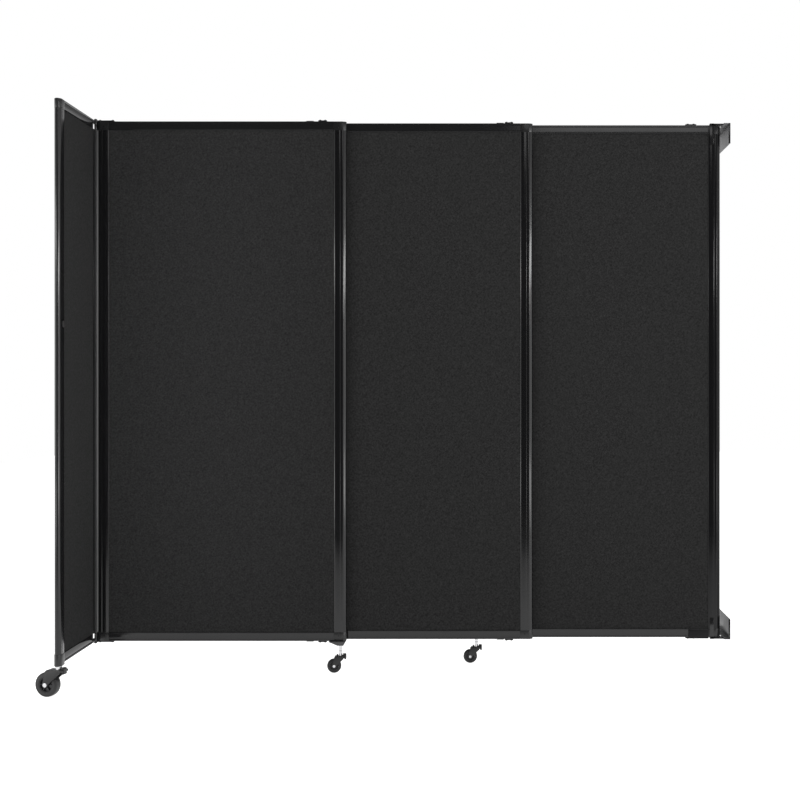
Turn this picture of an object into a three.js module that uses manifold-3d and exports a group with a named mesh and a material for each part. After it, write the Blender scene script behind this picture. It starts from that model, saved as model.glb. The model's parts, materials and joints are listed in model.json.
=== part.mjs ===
// Wall-mounted sliding partition.
// Three fabric panels telescope past one another on slotted top and bottom rails.
// A narrow end panel hangs on the leading panel by two pivot hinges and stands on a caster.
// Millimetres, +Z up, +X towards the wall, -Y towards the front of the partition.
// The origin is the centre of the lower wall plate, on the face that meets the wall.

import * as THREE from 'three';
import { mergeVertices } from 'three/addons/utils/BufferGeometryUtils.js';
import Module from 'manifold-3d';

const wasm = await Module();
wasm.setup();

// Panels
const panelWidth = 830;
const panelHeight = 1726;
const endPanelWidth = 370;
const frameThickness = 22;
const panelPitch = 34; // between the mid planes of neighbouring panels
const floorClearance = 103; // from the floor to the underside of the rails
const innerOverlap = 196.3; // middle panel over the wall panel, as it stands
const outerOverlap = 209.8; // leading panel over the middle panel, as it stands
const wallGap = 31.3; // from the end post to the wall
const fitGap = 0.3; // between pieces that are fixed to each other
const runGap = 0.4; // between pieces that slide or turn on each other

// Frame sections
const stileWidth = 41;
const hingedStileWidth = 20; // of the end panel, on its hinged side
const stileSetback = 5; // the stiles end this far short of the rails' tracks
const edgeRound = 12.5; // depth of the rounded outer edge of a stile
const railHeight = 29;
const slotDepth = 10; // how far the fabric panel reaches into the frame
const coreThickness = 16;
const beadWidth = 4;
const beadDrop = 2;
const lineWidth = 1.4; // fine groove along every section
const lineDepth = 0.8;
const stileLineAt = 20; // from the outer edge of a stile
const railLineAt = 7.5; // from the outer edge of a rail
const wallThickness = 2.2; // of the hollow sections
const chamberInset = 6; // from the outer edge of a stile to its hollow
const chamberBevel = 3; // of the hollow's corners behind the rounded edge

// Track in the rails: an undercut slot that holds two shoes side by side
const trackMouth = 10;
const trackWidth = 16;
const trackDepth = 6;
const trackLip = 2;
const lipChamfer = 1;
const laneGap = 1; // between the shoes that pass each other in one track

// Slides that join the panels
const slidePlate = 3.7;
const slideWidth = 17; // across a rail
const carriageLength = 28;
const carriageInset = 79; // from the right end of a panel to its carriage's middle
const carriageScrewSpacing = 17;
const guideLength = 24;
const guideInset = 88; // from the left end of a panel to its guide's middle
const stopLength = 36;
const stopInset = 98.5; // from the right end of the wall panel to its stop's middle
const stopScrewSpacing = 20;
const screwRadius = 4;
const screwHeight = 2.4;
const bumperLength = 68;
const bumperHeight = 26;
const bumperThickness = 3;
const bumperShift = 25; // the bumper's middle lies this far nearer the wall than the stop's

// Hinges of the end panel
const pivotOut = 1; // pivot axis beyond the leading panel's end
const pivotFront = 4; // pivot axis in front of the leading panel's face
const pivotPast = 2; // pivot axis beyond the end panel's hinged end
const pinRadius = 2.5;
const eyeRadius = 4.5;
const eyeGap = 0.7; // round the eye that turns
const armHeight = 12;
const armInset = 7; // from the pivot to the full width of the arm
const armFootLength = 28;
const armScrewsAt = [14, 54]; // from the end panel's hinged end
const leafLength = 57;
const leafThickness = 3.5;
const leafRound = 6;
const leafScrewInset = 10;
const leafEndInset = 5;
const webThickness = 4.5;
const pinHeadRadius = 4.5;
const pinHeadHeight = 2.6;

// Wall brackets
const plateLength = 230;
const plateHeight = 68;
const plateThickness = 3;
const plateForward = 29; // of the wall panel's mid plane
const plateHoleRadius = 3.2;
const plateHoleInset = 18;
const flangeThickness = 4;
const flangeWidth = 22;
const tongueReach = 34; // over the end post
const tongueForward = 19;
const tongueBack = 16;
const padWidth = 17;
const padInset = 4; // from the post's outer edge
const clipWidth = 14;
const clipPast = 2; // beyond the tongue's end
const clipDrop = 66;
const clipThickness = 2;
const bracketScrewSpacing = 20;
const bracketScrewInset = 25; // from the post's outer edge

// Casters
const endCaster = {
  wheelRadius: 38,
  wheelWidth: 28,
  trail: 37,
  headRadius: 14,
  stemRadius: 5.5,
  collarRadius: 10.5,
  hubRadius: 24,
  webThickness: 10,
  axleRadius: 4,
  boltRadius: 6.5,
  legRadius: 9,
  pedalDrop: 11,
  lugRise: 0,
};
const panelCaster = {
  wheelRadius: 23.5,
  wheelWidth: 19,
  trail: 21,
  headRadius: 10,
  stemRadius: 4.5,
  collarRadius: 5.6,
  hubRadius: 15,
  webThickness: 6.5,
  axleRadius: 3,
  boltRadius: 4.5,
  legRadius: 7,
  pedalDrop: 8,
  lugRise: 6,
};
const crownGap = 3.5; // between a wheel and its fork's crown
const crownThickness = 4.5;
const legThickness = 2.6;
const legGap = 1.2;
const stemPlug = 24; // of a stem inside the post above it
const boltHeight = 2.5;
const hubWall = 3;
const rimSetback = 2; // inside a hub's boss
const tyreSetback = 1;
const tyreRound = 4; // at the edges of the tread
const tyreCrown = 1;
const pedalWidth = 18;
const pedalPinRadius = 2;
const pedalEye = 4;
const pedalReach = 4.6; // from the pedal's pin to its outer face
const pedalRise = 9.5; // from the pedal's pin to its tread
const pedalLean = 6.4; // of the tread towards the stem
const pedalNeck = 2.8; // from the pin to where the tread leans in
const pedalRound = 3.5; // at the pedal's outer corners
const pedalSlant = 22; // degrees, by which its inner face runs clear of the fork
const earWall = 1.5; // round the pedal's pin
const lugSetback = 2; // of the fork's lug from the edge of its head
const lugLength = 5;
const lugWidth = 12;
const endCasterInset = 19; // from the end panel's free end
const endCasterTurn = 165; // degrees, direction in which the wheel trails
const frontCasterTurn = 184;
const rearCasterTurn = 180;
const frontCasterInset = 17.8; // from the leading panel's right end
const frontCasterOffset = 17; // in front of the leading panel's mid plane
const rearCasterInset = 7; // from the wall panel's left end
const rearCasterOffset = 72; // behind the wall panel's mid plane
const outriggerHeight = 12.3;
const outriggerRound = 10; // round the stem of a small caster
const wedgeLength = 57;
const wedgeEnd = 1; // short of the leading panel's right end
const wedgeBack = 8; // behind the leading panel's mid plane
const armWidth = 40;
const armPast = 18; // of the wall panel's left end
const armToe = 3.8; // thickness under the wall panel
const armLevelFrom = 8; // its underside is level from this far before the stem's boss

// Catch on the end panel
const catchRadius = 10;
const catchChamfer = 1;
const catchHeight = 1.2;
const catchInset = 25; // from the free end
const catchLevel = 1038; // above the underside of the rails

const cutPast = 1; // how far a cutting solid stands out of what it cuts
const padLap = 1; // how far pieces of one part reach into or stay inside one another

const halfFrame = frameThickness / 2;
const slotHalf = coreThickness / 2 + fitGap;
const stileLength = panelHeight - 2 * stileSetback;

// Solids

function toSolid(geometry) {
  const bare = geometry.clone();
  bare.deleteAttribute('normal');
  bare.deleteAttribute('uv');
  const merged = mergeVertices(bare, 1e-4);
  const vertProperties = new Float32Array(merged.attributes.position.array);
  const triVerts = new Uint32Array(merged.index.array);
  return new wasm.Manifold(new wasm.Mesh({ numProp: 3, vertProperties, triVerts }));
}

function toGeometry(solid) {
  const mesh = solid.getMesh();
  const geometry = new THREE.BufferGeometry();
  geometry.setAttribute('position', new THREE.BufferAttribute(mesh.vertProperties, 3));
  geometry.setIndex(new THREE.BufferAttribute(mesh.triVerts, 1));
  geometry.computeVertexNormals();
  return geometry;
}

function combine(added, removed = []) {
  let solid = toSolid(added[0]);
  for (const geometry of added.slice(1)) solid = solid.add(toSolid(geometry));
  for (const geometry of removed) solid = solid.subtract(toSolid(geometry));
  return toGeometry(solid);
}

// A box between two values on each axis, in either order.
function block(x, y, z) {
  const sizes = [x, y, z].map((ends) => Math.abs(ends[1] - ends[0]));
  const geometry = new THREE.BoxGeometry(...sizes);
  return geometry.translate((x[0] + x[1]) / 2, (y[0] + y[1]) / 2, (z[0] + z[1]) / 2);
}

function uprightRod(radius, x, y, z, sides = 24) {
  const geometry = new THREE.CylinderGeometry(radius, radius, Math.abs(z[1] - z[0]), sides);
  geometry.rotateX(Math.PI / 2);
  return geometry.translate(x, y, (z[0] + z[1]) / 2);
}

// A rod along Y, as a caster's axle lies.
function crossRod(radius, x, y, z, sides = 24) {
  const geometry = new THREE.CylinderGeometry(radius, radius, Math.abs(y[1] - y[0]), sides);
  return geometry.translate(x, (y[0] + y[1]) / 2, z);
}

function extrusion(shape, depth) {
  return new THREE.ExtrudeGeometry(shape, { depth, bevelEnabled: false, curveSegments: 6 });
}

// An extrusion along X, of a section drawn with Y to the right and Z up.
function lyingExtrusion(shape, from, to) {
  const geometry = extrusion(shape, to - from);
  const alongX = new THREE.Vector3(1, 0, 0);
  const alongY = new THREE.Vector3(0, 1, 0);
  const alongZ = new THREE.Vector3(0, 0, 1);
  geometry.applyMatrix4(new THREE.Matrix4().makeBasis(alongY, alongZ, alongX));
  return geometry.translate(from, 0, 0);
}

// Turns a piece made for the top rail over, so that it fits the bottom rail.
function turnedOver(geometry) {
  return geometry.clone().rotateX(Math.PI).translate(0, 0, panelHeight);
}

// Materials

const finishes = {
  frame: { color: 0x17181a, roughness: 0.28, metalness: 0.35 },
  fabric: { color: 0x2b2b2b, roughness: 0.95, metalness: 0 },
  nylon: { color: 0x141414, roughness: 0.5, metalness: 0 },
  steel: { color: 0x6e7174, roughness: 0.4, metalness: 0.85 },
  chrome: { color: 0xc9ccd0, roughness: 0.12, metalness: 1 },
  rubber: { color: 0x1a1a1a, roughness: 0.8, metalness: 0 },
};

function piece(name, geometry, finish) {
  const mesh = new THREE.Mesh(geometry, new THREE.MeshStandardMaterial(finishes[finish]));
  mesh.name = name;
  return mesh;
}

// Frame sections

function beadTo(shape, from, to, corner) {
  shape.lineTo(from[0], from[1]);
  shape.quadraticCurveTo(corner[0], corner[1], to[0], to[1]);
}

function faceLine(shape, side, direction) {
  shape.lineTo(stileLineAt - direction * lineWidth / 2, side * halfFrame);
  shape.lineTo(stileLineAt, side * (halfFrame - lineDepth));
  shape.lineTo(stileLineAt + direction * lineWidth / 2, side * halfFrame);
}

// Section of a stile from its rounded outer edge at 0. The narrow one is solid and plain.
function stileSection(width) {
  const shape = new THREE.Shape();
  const slotEnd = width - slotDepth;
  const chamberEnd = slotEnd - wallThickness;
  const hollow = width === stileWidth;
  shape.moveTo(edgeRound, -halfFrame);
  if (hollow) faceLine(shape, -1, 1);
  beadTo(shape, [width - beadWidth, -halfFrame], [width, -halfFrame + beadDrop], [width, -halfFrame]);
  shape.lineTo(width, -slotHalf);
  shape.lineTo(slotEnd, -slotHalf);
  shape.lineTo(slotEnd, slotHalf);
  shape.lineTo(width, slotHalf);
  beadTo(shape, [width, halfFrame - beadDrop], [width - beadWidth, halfFrame], [width, halfFrame]);
  if (hollow) faceLine(shape, 1, -1);
  shape.lineTo(edgeRound, halfFrame);
  shape.absellipse(edgeRound, 0, edgeRound, halfFrame, Math.PI / 2, Math.PI * 1.5, false, 0);
  if (hollow) {
    const chamber = new THREE.Path();
    const chamberHalf = halfFrame - wallThickness;
    chamber.moveTo(chamberInset, -chamberHalf + chamberBevel);
    chamber.lineTo(chamberInset, chamberHalf - chamberBevel);
    chamber.lineTo(chamberInset + chamberBevel, chamberHalf);
    chamber.lineTo(chamberEnd, chamberHalf);
    chamber.lineTo(chamberEnd, -chamberHalf);
    chamber.lineTo(chamberInset + chamberBevel, -chamberHalf);
    chamber.closePath();
    shape.holes.push(chamber);
  }
  return shape;
}

// Section of a top rail, from its underside at 0 to its track at railHeight.
function railSection() {
  const shape = new THREE.Shape();
  const seamAt = railHeight - railLineAt;
  const trackFloor = railHeight - trackDepth;
  const mouth = trackMouth / 2;
  const inside = trackWidth / 2;
  shape.moveTo(-slotHalf, 0);
  shape.lineTo(-slotHalf, slotDepth);
  shape.lineTo(slotHalf, slotDepth);
  shape.lineTo(slotHalf, 0);
  beadTo(shape, [halfFrame - beadDrop, 0], [halfFrame, beadWidth], [halfFrame, 0]);
  shape.lineTo(halfFrame, seamAt - lineWidth / 2);
  shape.lineTo(halfFrame - lineDepth, seamAt);
  shape.lineTo(halfFrame, seamAt + lineWidth / 2);
  shape.lineTo(halfFrame, railHeight - lipChamfer);
  shape.lineTo(halfFrame - lipChamfer, railHeight);
  shape.lineTo(mouth, railHeight);
  shape.lineTo(mouth, railHeight - trackLip);
  shape.lineTo(inside, railHeight - trackLip);
  shape.lineTo(inside, trackFloor);
  shape.lineTo(-inside, trackFloor);
  shape.lineTo(-inside, railHeight - trackLip);
  shape.lineTo(-mouth, railHeight - trackLip);
  shape.lineTo(-mouth, railHeight);
  shape.lineTo(-halfFrame + lipChamfer, railHeight);
  shape.lineTo(-halfFrame, railHeight - lipChamfer);
  shape.lineTo(-halfFrame, seamAt + lineWidth / 2);
  shape.lineTo(-halfFrame + lineDepth, seamAt);
  shape.lineTo(-halfFrame, seamAt - lineWidth / 2);
  beadTo(shape, [-halfFrame, beadWidth], [-halfFrame + beadDrop, 0], [-halfFrame, 0]);
  const chamber = new THREE.Path();
  const chamberHalf = halfFrame - wallThickness;
  const chamberLow = slotDepth + wallThickness;
  const chamberHigh = trackFloor - wallThickness;
  chamber.moveTo(-chamberHalf, chamberLow);
  chamber.lineTo(chamberHalf, chamberLow);
  chamber.lineTo(chamberHalf, chamberHigh);
  chamber.lineTo(-chamberHalf, chamberHigh);
  chamber.closePath();
  shape.holes.push(chamber);
  return shape;
}

function stile(width, length) {
  return extrusion(stileSection(width), length);
}

// The frame and fabric of one panel, from its left end at x = 0. At an end that carries
// the hinges the stile is narrow, and it and the fabric stop at the rails' inner edges.
function panelPieces(name, width, hingedEnd = false) {
  const railEnds = [stileWidth + fitGap, width - stileWidth - fitGap];
  const topRail = lyingExtrusion(railSection(), railEnds[0], railEnds[1]);
  topRail.translate(0, 0, panelHeight - railHeight);
  const leftWidth = hingedEnd ? hingedStileWidth : stileWidth;
  const leftStart = hingedEnd ? railHeight + fitGap : stileSetback;
  const leftStile = stile(leftWidth, panelHeight - 2 * leftStart).translate(0, 0, leftStart);
  const rightStile = stile(stileWidth, stileLength).rotateZ(Math.PI).translate(width, 0, stileSetback);
  const intoSlot = fitGap - slotDepth;
  const coreX = [leftWidth + intoSlot, width - stileWidth - intoSlot];
  const lift = railHeight + intoSlot;
  const halfCore = coreThickness / 2;
  const core = block(coreX, [-halfCore, halfCore], [lift, panelHeight - lift]);
  const corners = [[0, leftStart + fitGap], [panelHeight - leftStart - fitGap, panelHeight]];
  const cuts = corners.map((z) => block([0, stileWidth + fitGap], [-halfFrame, halfFrame], z));
  return [
    piece(`${name}_left_stile`, leftStile, 'frame'),
    piece(`${name}_right_stile`, rightStile, 'frame'),
    piece(`${name}_top_rail`, topRail, 'frame'),
    piece(`${name}_bottom_rail`, turnedOver(topRail), 'frame'),
    piece(`${name}_fabric_core`, hingedEnd ? combine([core], cuts) : core, 'fabric'),
  ];
}

// Slides

// A foot that fills the track of the rail whose mid plane is at y.
function trackFoot(x, y, top) {
  const neck = trackMouth / 2 - fitGap;
  const head = trackWidth / 2 - fitGap;
  const low = panelHeight - trackDepth + fitGap;
  const shoulder = panelHeight - trackLip - fitGap;
  return [
    block(x, [y - neck, y + neck], [low, top]),
    block(x, [y - head, y + head], [low, shoulder]),
  ];
}

// A shoe that runs in one half of the track of the rail whose mid plane is at y, in front
// of that plane where side is -1 and behind it where side is 1.
function trackShoe(x, y, side, top) {
  const start = y + side * laneGap / 2;
  const neck = y + side * (trackMouth / 2 - runGap);
  const head = y + side * (trackWidth / 2 - runGap);
  const low = panelHeight - trackDepth + runGap;
  const shoulder = panelHeight - trackLip - runGap;
  return [
    block(x, [start, neck], [low, top]),
    block(x, [start, head], [low, shoulder]),
  ];
}

function screwHeads(xs, y, seat) {
  return xs.map((x) => uprightRod(screwRadius, x, y, [seat - fitGap, seat + screwHeight], 16));
}

function spread(middle, spacing) {
  return [middle - spacing / 2, middle + spacing / 2];
}

// Joins two top rails: fixed in the one at y = 0, running in the near half of the one
// at y = reach.
function slide(middle, length, reach, screws) {
  const x = spread(middle, length);
  const seat = panelHeight + fitGap;
  const top = seat + slidePlate;
  const side = Math.sign(reach);
  return combine([
    block(x, [-side * slideWidth / 2, reach - side * laneGap / 2], [seat, top]),
    ...trackFoot(x, 0, seat + slidePlate / 2),
    ...trackShoe(x, reach, -side, seat + slidePlate / 2),
    ...screwHeads(screws, 0, top),
  ]);
}

// Fixed at the right end of a panel, runs in the rail behind it.
function carriage(side) {
  const middle = panelWidth - carriageInset;
  return slide(middle, carriageLength, side * panelPitch, spread(middle, carriageScrewSpacing));
}

// Fixed at the left end of a panel, runs in the rail in front of it.
function guide(side) {
  return slide(guideInset, guideLength, -side * panelPitch, [guideInset]);
}

// Closes the wall panel's track. side is -1 for a piece that is turned over.
function endStop(side, withBumper) {
  const middle = panelWidth - stopInset;
  const x = spread(middle, stopLength);
  const seat = panelHeight + fitGap;
  const top = seat + slidePlate;
  const parts = [
    block(x, [-slideWidth / 2, slideWidth / 2], [seat, top]),
    ...trackFoot(x, 0, seat + slidePlate / 2),
    ...screwHeads(spread(middle, stopScrewSpacing), 0, top),
  ];
  if (withBumper) {
    const face = -side * (halfFrame + fitGap);
    const front = face - side * bumperThickness;
    const span = spread(middle + bumperShift, bumperLength);
    parts.push(block(span, [face, front], [panelHeight - bumperHeight, top]));
    parts.push(block([span[0], x[1]], [front, 0], [seat, top]));
  }
  return combine(parts);
}

// Hinges of the end panel

// Each is made for the top; side is -1 for a piece that is then turned over.

// On the leading panel, whose left end is at x = 0.
function hingeBracket(side) {
  const pivotX = -pivotOut;
  const pivotY = -side * (halfFrame + pivotFront);
  const seat = panelHeight + fitGap;
  const top = seat + leafThickness;
  const low = panelHeight - railHeight + fitGap;
  const eyeTop = panelHeight - armHeight - runGap;
  const half = slideWidth / 2;
  const webX = [-fitGap - webThickness, -fitGap];
  const webStart = pivotY + side * (eyeRadius + eyeGap);
  const parts = [
    block([webX[0], leafLength], [-half, half], [seat, top]),
    block([pivotX - leafRound, pivotX + leafRound], [pivotY, side * half], [seat, top]),
    uprightRod(leafRound, pivotX, pivotY, [seat, top]),
    block(webX, [webStart, side * half], [low, top]),
    block(webX, [pivotY, webStart + side], [low, eyeTop]),
    uprightRod(eyeRadius, pivotX, pivotY, [low, eyeTop]),
    ...trackFoot([stileWidth + 2 * fitGap, leafLength], 0, seat + leafThickness / 2),
    ...screwHeads([leafScrewInset, leafLength - leafEndInset], 0, top),
  ];
  return combine(parts, [uprightRod(pinRadius + fitGap, pivotX, pivotY, [low - cutPast, top + cutPast])]);
}

// On the end panel, whose hinged end is at x = 0.
function hingeArm(side) {
  const pivotX = -pivotPast;
  const pivotY = side * (halfFrame - pivotOut);
  const face = side * halfFrame;
  const high = panelHeight - runGap;
  const low = panelHeight - armHeight;
  const shoulder = pivotX + armInset;
  const parts = [
    uprightRod(eyeRadius, pivotX, pivotY, [low, high]),
    block([pivotX, shoulder + padLap], [pivotY - side * eyeRadius, face], [low, high]),
    block([shoulder, stileWidth], [-side * trackWidth / 2, face], [low, high]),
    ...trackFoot([stileWidth - padLap, stileWidth + armFootLength], 0, high),
    ...screwHeads(armScrewsAt, 0, high),
  ];
  const bore = uprightRod(pinRadius + fitGap, pivotX, pivotY, [low - cutPast, high + cutPast]);
  return combine(parts, [bore]);
}

function hingePin(side) {
  const y = -side * (halfFrame + pivotFront);
  const leafTop = panelHeight + fitGap + leafThickness;
  const low = panelHeight - railHeight + 2 * fitGap;
  return combine([
    uprightRod(pinRadius, -pivotOut, y, [low, leafTop + 2 * fitGap]),
    uprightRod(pinHeadRadius, -pivotOut, y, [leafTop + fitGap, leafTop + fitGap + pinHeadHeight]),
  ]);
}

// How near the rounded end of a stile comes to a point given from its outer edge and
// mid plane.
function distanceToEdge(x, y) {
  const steps = 90;
  let nearest = Infinity;
  for (let i = 0; i <= steps; i += 1) {
    const angle = (Math.PI / 2) * (i / steps);
    const edgeX = edgeRound * (1 - Math.cos(angle));
    const edgeY = halfFrame * Math.sin(angle);
    nearest = Math.min(nearest, Math.hypot(edgeX - x, edgeY - y));
  }
  return nearest;
}

// A round strip on the pivot axis that closes the view between the two posts.
function hingeSeal() {
  const y = halfFrame - pivotOut;
  const radius = distanceToEdge(-pivotPast, y) - fitGap;
  const end = railHeight + fitGap;
  return uprightRod(radius, -pivotPast, y, [end, panelHeight - end]);
}

// Wall brackets

// At the end post of the wall panel, whose left end is at x = 0.
function wallBracket(side) {
  const wall = panelWidth + wallGap;
  const seat = panelHeight + fitGap;
  const top = seat + flangeThickness;
  const tongueStart = panelWidth - tongueReach;
  const firstScrew = panelWidth - bracketScrewInset;
  const plateY = [-side * plateForward, side * (plateLength - plateForward)];
  const padTop = panelHeight - stileSetback + fitGap;
  const clipFace = -side * (halfFrame + fitGap);
  const clipX = [tongueStart - clipPast, tongueStart - clipPast + clipWidth];
  const parts = [
    block([tongueStart, wall], [-side * tongueForward, side * tongueBack], [seat, top]),
    block([wall - flangeWidth, wall], plateY, [seat, top]),
    block([wall - plateThickness, wall], plateY, [top - plateHeight, top]),
    block([tongueStart + padLap, panelWidth - padInset], [-padWidth / 2, padWidth / 2], [padTop, top]),
    block(clipX, [clipFace, clipFace - side * clipThickness], [panelHeight - clipDrop, top]),
    block(clipX, [-side * tongueForward, 0], [seat, top]),
    ...screwHeads([firstScrew, firstScrew + bracketScrewSpacing], 0, top),
  ];
  const holesY = [plateY[0] + side * plateHoleInset, plateY[1] - side * plateHoleInset];
  const holes = holesY.map((y) => {
    const hole = new THREE.CylinderGeometry(plateHoleRadius, plateHoleRadius, plateThickness * 4, 20);
    return hole.rotateZ(Math.PI / 2).translate(wall - plateThickness / 2, y, top - plateHeight / 2);
  });
  return combine(parts, holes);
}

// Casters

// Every caster is made with its stem on the Z axis, its wheel trailing towards +X
// and the floor at z = 0.
function casterLevels(size) {
  const crown = size.wheelRadius * 2 + crownGap;
  const head = crown + crownThickness;
  const legIn = size.wheelWidth / 2 + legGap;
  return { crown, head, legIn, legOut: legIn + legThickness };
}

function forkLeg(size, y) {
  const level = casterLevels(size);
  const shape = new THREE.Shape();
  const reach = size.legRadius;
  shape.moveTo(-size.headRadius, level.head);
  shape.lineTo(-size.headRadius, level.crown - crownGap);
  shape.lineTo(size.trail - reach, size.wheelRadius);
  shape.absarc(size.trail, size.wheelRadius, reach, Math.PI, Math.PI * 2, false);
  shape.lineTo(size.trail, level.crown);
  shape.lineTo(size.trail - reach / 2, level.head);
  const leg = extrusion(shape, legThickness);
  return leg.rotateX(Math.PI / 2).translate(0, y + legThickness / 2, 0);
}

function pedalPivot(size) {
  const level = casterLevels(size);
  return { x: -size.headRadius - pedalEye - runGap, z: level.head - pedalPinRadius };
}

function forkPiece(size) {
  const level = casterLevels(size);
  const middleLeg = (level.legIn + level.legOut) / 2;
  const pivot = pedalPivot(size);
  const ear = pedalPinRadius + earWall;
  const earIn = pedalWidth / 2 + runGap;
  const earOut = Math.max(earIn, level.legIn) + legThickness;
  const parts = [
    forkLeg(size, middleLeg),
    forkLeg(size, -middleLeg),
    block(
      [-size.headRadius, size.trail - size.legRadius / 2],
      [-level.legOut, level.legOut],
      [level.crown, level.head],
    ),
    uprightRod(size.headRadius, 0, 0, [level.crown, level.head], 28),
    crossRod(pedalPinRadius, pivot.x, [-earOut, earOut], pivot.z, 16),
  ];
  for (const sign of [-1, 1]) {
    parts.push(block(
      [pivot.x - ear, -size.headRadius / 2],
      [sign * earIn, sign * earOut],
      [pivot.z - ear, pivot.z + ear],
    ));
  }
  if (size.lugRise > 0) {
    const start = size.headRadius - lugSetback;
    parts.push(block(
      [start, start + lugLength],
      [-lugWidth / 2, lugWidth / 2],
      [level.crown, level.head + size.lugRise],
    ));
  }
  const removed = [
    uprightRod(size.stemRadius + runGap, 0, 0, [level.crown - cutPast, level.head + cutPast], 28),
    crossRod(
      size.axleRadius + fitGap,
      size.trail,
      [-level.legOut - cutPast, level.legOut + cutPast],
      size.wheelRadius,
    ),
  ];
  return combine(parts, removed);
}

// A thick paddle that stands up behind the stem and tips about its pin.
function pedalPiece(size) {
  const pivot = pedalPivot(size);
  const half = pedalWidth / 2;
  const shape = new THREE.Shape();
  const inner = pivot.x + pedalEye;
  const outer = pivot.x - pedalReach;
  const tread = pivot.x + pedalLean;
  const top = pivot.z + pedalRise;
  const low = pivot.z - size.pedalDrop;
  const neck = pivot.z + pedalNeck;
  const lowInner = inner - size.pedalDrop * Math.tan(THREE.MathUtils.degToRad(pedalSlant));
  shape.moveTo(inner, pivot.z);
  shape.lineTo(inner, neck);
  shape.lineTo(tread, neck + pedalLean - pedalEye);
  shape.lineTo(tread, top);
  shape.lineTo(outer + pedalRound, top);
  shape.quadraticCurveTo(outer, top, outer, top - pedalRound);
  shape.lineTo(outer, low + pedalRound);
  shape.quadraticCurveTo(outer, low, outer + pedalRound, low);
  shape.lineTo(lowInner, low);
  const body = extrusion(shape, pedalWidth);
  body.rotateX(Math.PI / 2).translate(0, half, 0);
  const bore = crossRod(
    pedalPinRadius + runGap,
    pivot.x,
    [-half - cutPast, half + cutPast],
    pivot.z,
    16,
  );
  return combine([body], [bore]);
}

// A round profile about the axle, given as pairs of radius and width.
function turned(size, profile, sides) {
  const points = profile.map(([radius, across]) => new THREE.Vector2(radius, across));
  const geometry = new THREE.LatheGeometry(points, sides);
  return geometry.translate(size.trail, 0, size.wheelRadius);
}

function hubPiece(size) {
  const bore = size.axleRadius + runGap;
  const half = size.wheelWidth / 2;
  const rimEnd = half - rimSetback;
  const boss = bore + hubWall;
  const rim = size.hubRadius - hubWall;
  const web = size.webThickness / 2;
  return turned(size, [
    [bore, -half], [boss, -half], [boss, -web], [rim, -web], [rim, -rimEnd],
    [size.hubRadius, -rimEnd], [size.hubRadius, rimEnd], [rim, rimEnd],
    [rim, web], [boss, web], [boss, half], [bore, half], [bore, -half],
  ], 28);
}

function tyrePiece(size) {
  const half = size.wheelWidth / 2 - tyreSetback;
  const inner = size.hubRadius + fitGap;
  const outer = size.wheelRadius;
  const side = outer - tyreRound;
  const tread = outer - tyreCrown;
  const shoulder = half - tyreRound;
  return turned(size, [
    [inner, -half], [side, -half], [tread, -shoulder], [outer, 0],
    [tread, shoulder], [side, half], [inner, half], [inner, -half],
  ], 36);
}

function axlePiece(size) {
  const level = casterLevels(size);
  const grip = level.legOut + fitGap;
  return turned(size, [
    [0, -grip - boltHeight], [size.boltRadius, -grip - boltHeight], [size.boltRadius, -grip],
    [size.axleRadius, -grip], [size.axleRadius, grip], [size.boltRadius, grip],
    [size.boltRadius, grip + boltHeight], [0, grip + boltHeight],
  ], 24);
}

// The stem reaches from the fork's head into what carries the caster: a collar below
// the seat and a plug above it.
function stemPiece(size, seatHeight, plug) {
  const level = casterLevels(size);
  return combine([
    uprightRod(size.stemRadius, 0, 0, [level.crown + padLap, seatHeight + plug], 28),
    uprightRod(size.collarRadius, 0, 0, [level.head + runGap, seatHeight - fitGap], 28),
  ]);
}

function caster(name, size, seatHeight, plug, turn) {
  const group = new THREE.Group();
  group.add(
    piece(`${name}_stem`, stemPiece(size, seatHeight, plug), 'chrome'),
    piece(`${name}_fork`, forkPiece(size), 'nylon'),
    piece(`${name}_brake_pedal`, pedalPiece(size), 'nylon'),
    piece(`${name}_hub`, hubPiece(size), 'nylon'),
    piece(`${name}_tyre`, tyrePiece(size), 'rubber'),
    piece(`${name}_axle`, axlePiece(size), 'chrome'),
  );
  group.rotation.z = THREE.MathUtils.degToRad(turn);
  return group;
}

// Bracket under the leading panel's right post; x = 0 is the panel's left end and
// z = 0 the underside of its rails.
function frontOutrigger() {
  const x = panelWidth - frontCasterInset;
  const y = -frontCasterOffset;
  const low = -fitGap - outriggerHeight;
  const front = y - outriggerRound;
  const shape = new THREE.Shape();
  shape.moveTo(panelWidth - wedgeLength, -fitGap);
  shape.lineTo(x - outriggerRound, low);
  shape.lineTo(x + outriggerRound, low);
  shape.lineTo(panelWidth - wedgeEnd, -fitGap);
  const wedge = extrusion(shape, wedgeBack - front);
  wedge.rotateX(Math.PI / 2).translate(0, wedgeBack, 0);
  const pad = block(
    [panelWidth - stileWidth + padLap, panelWidth - padInset],
    [padLap - halfFrame, wedgeBack],
    [low / 2, stileSetback - fitGap],
  );
  const bore = uprightRod(panelCaster.stemRadius + fitGap, x, y, [low - cutPast, stileSetback], 28);
  return combine([wedge, pad], [bore]);
}

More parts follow.
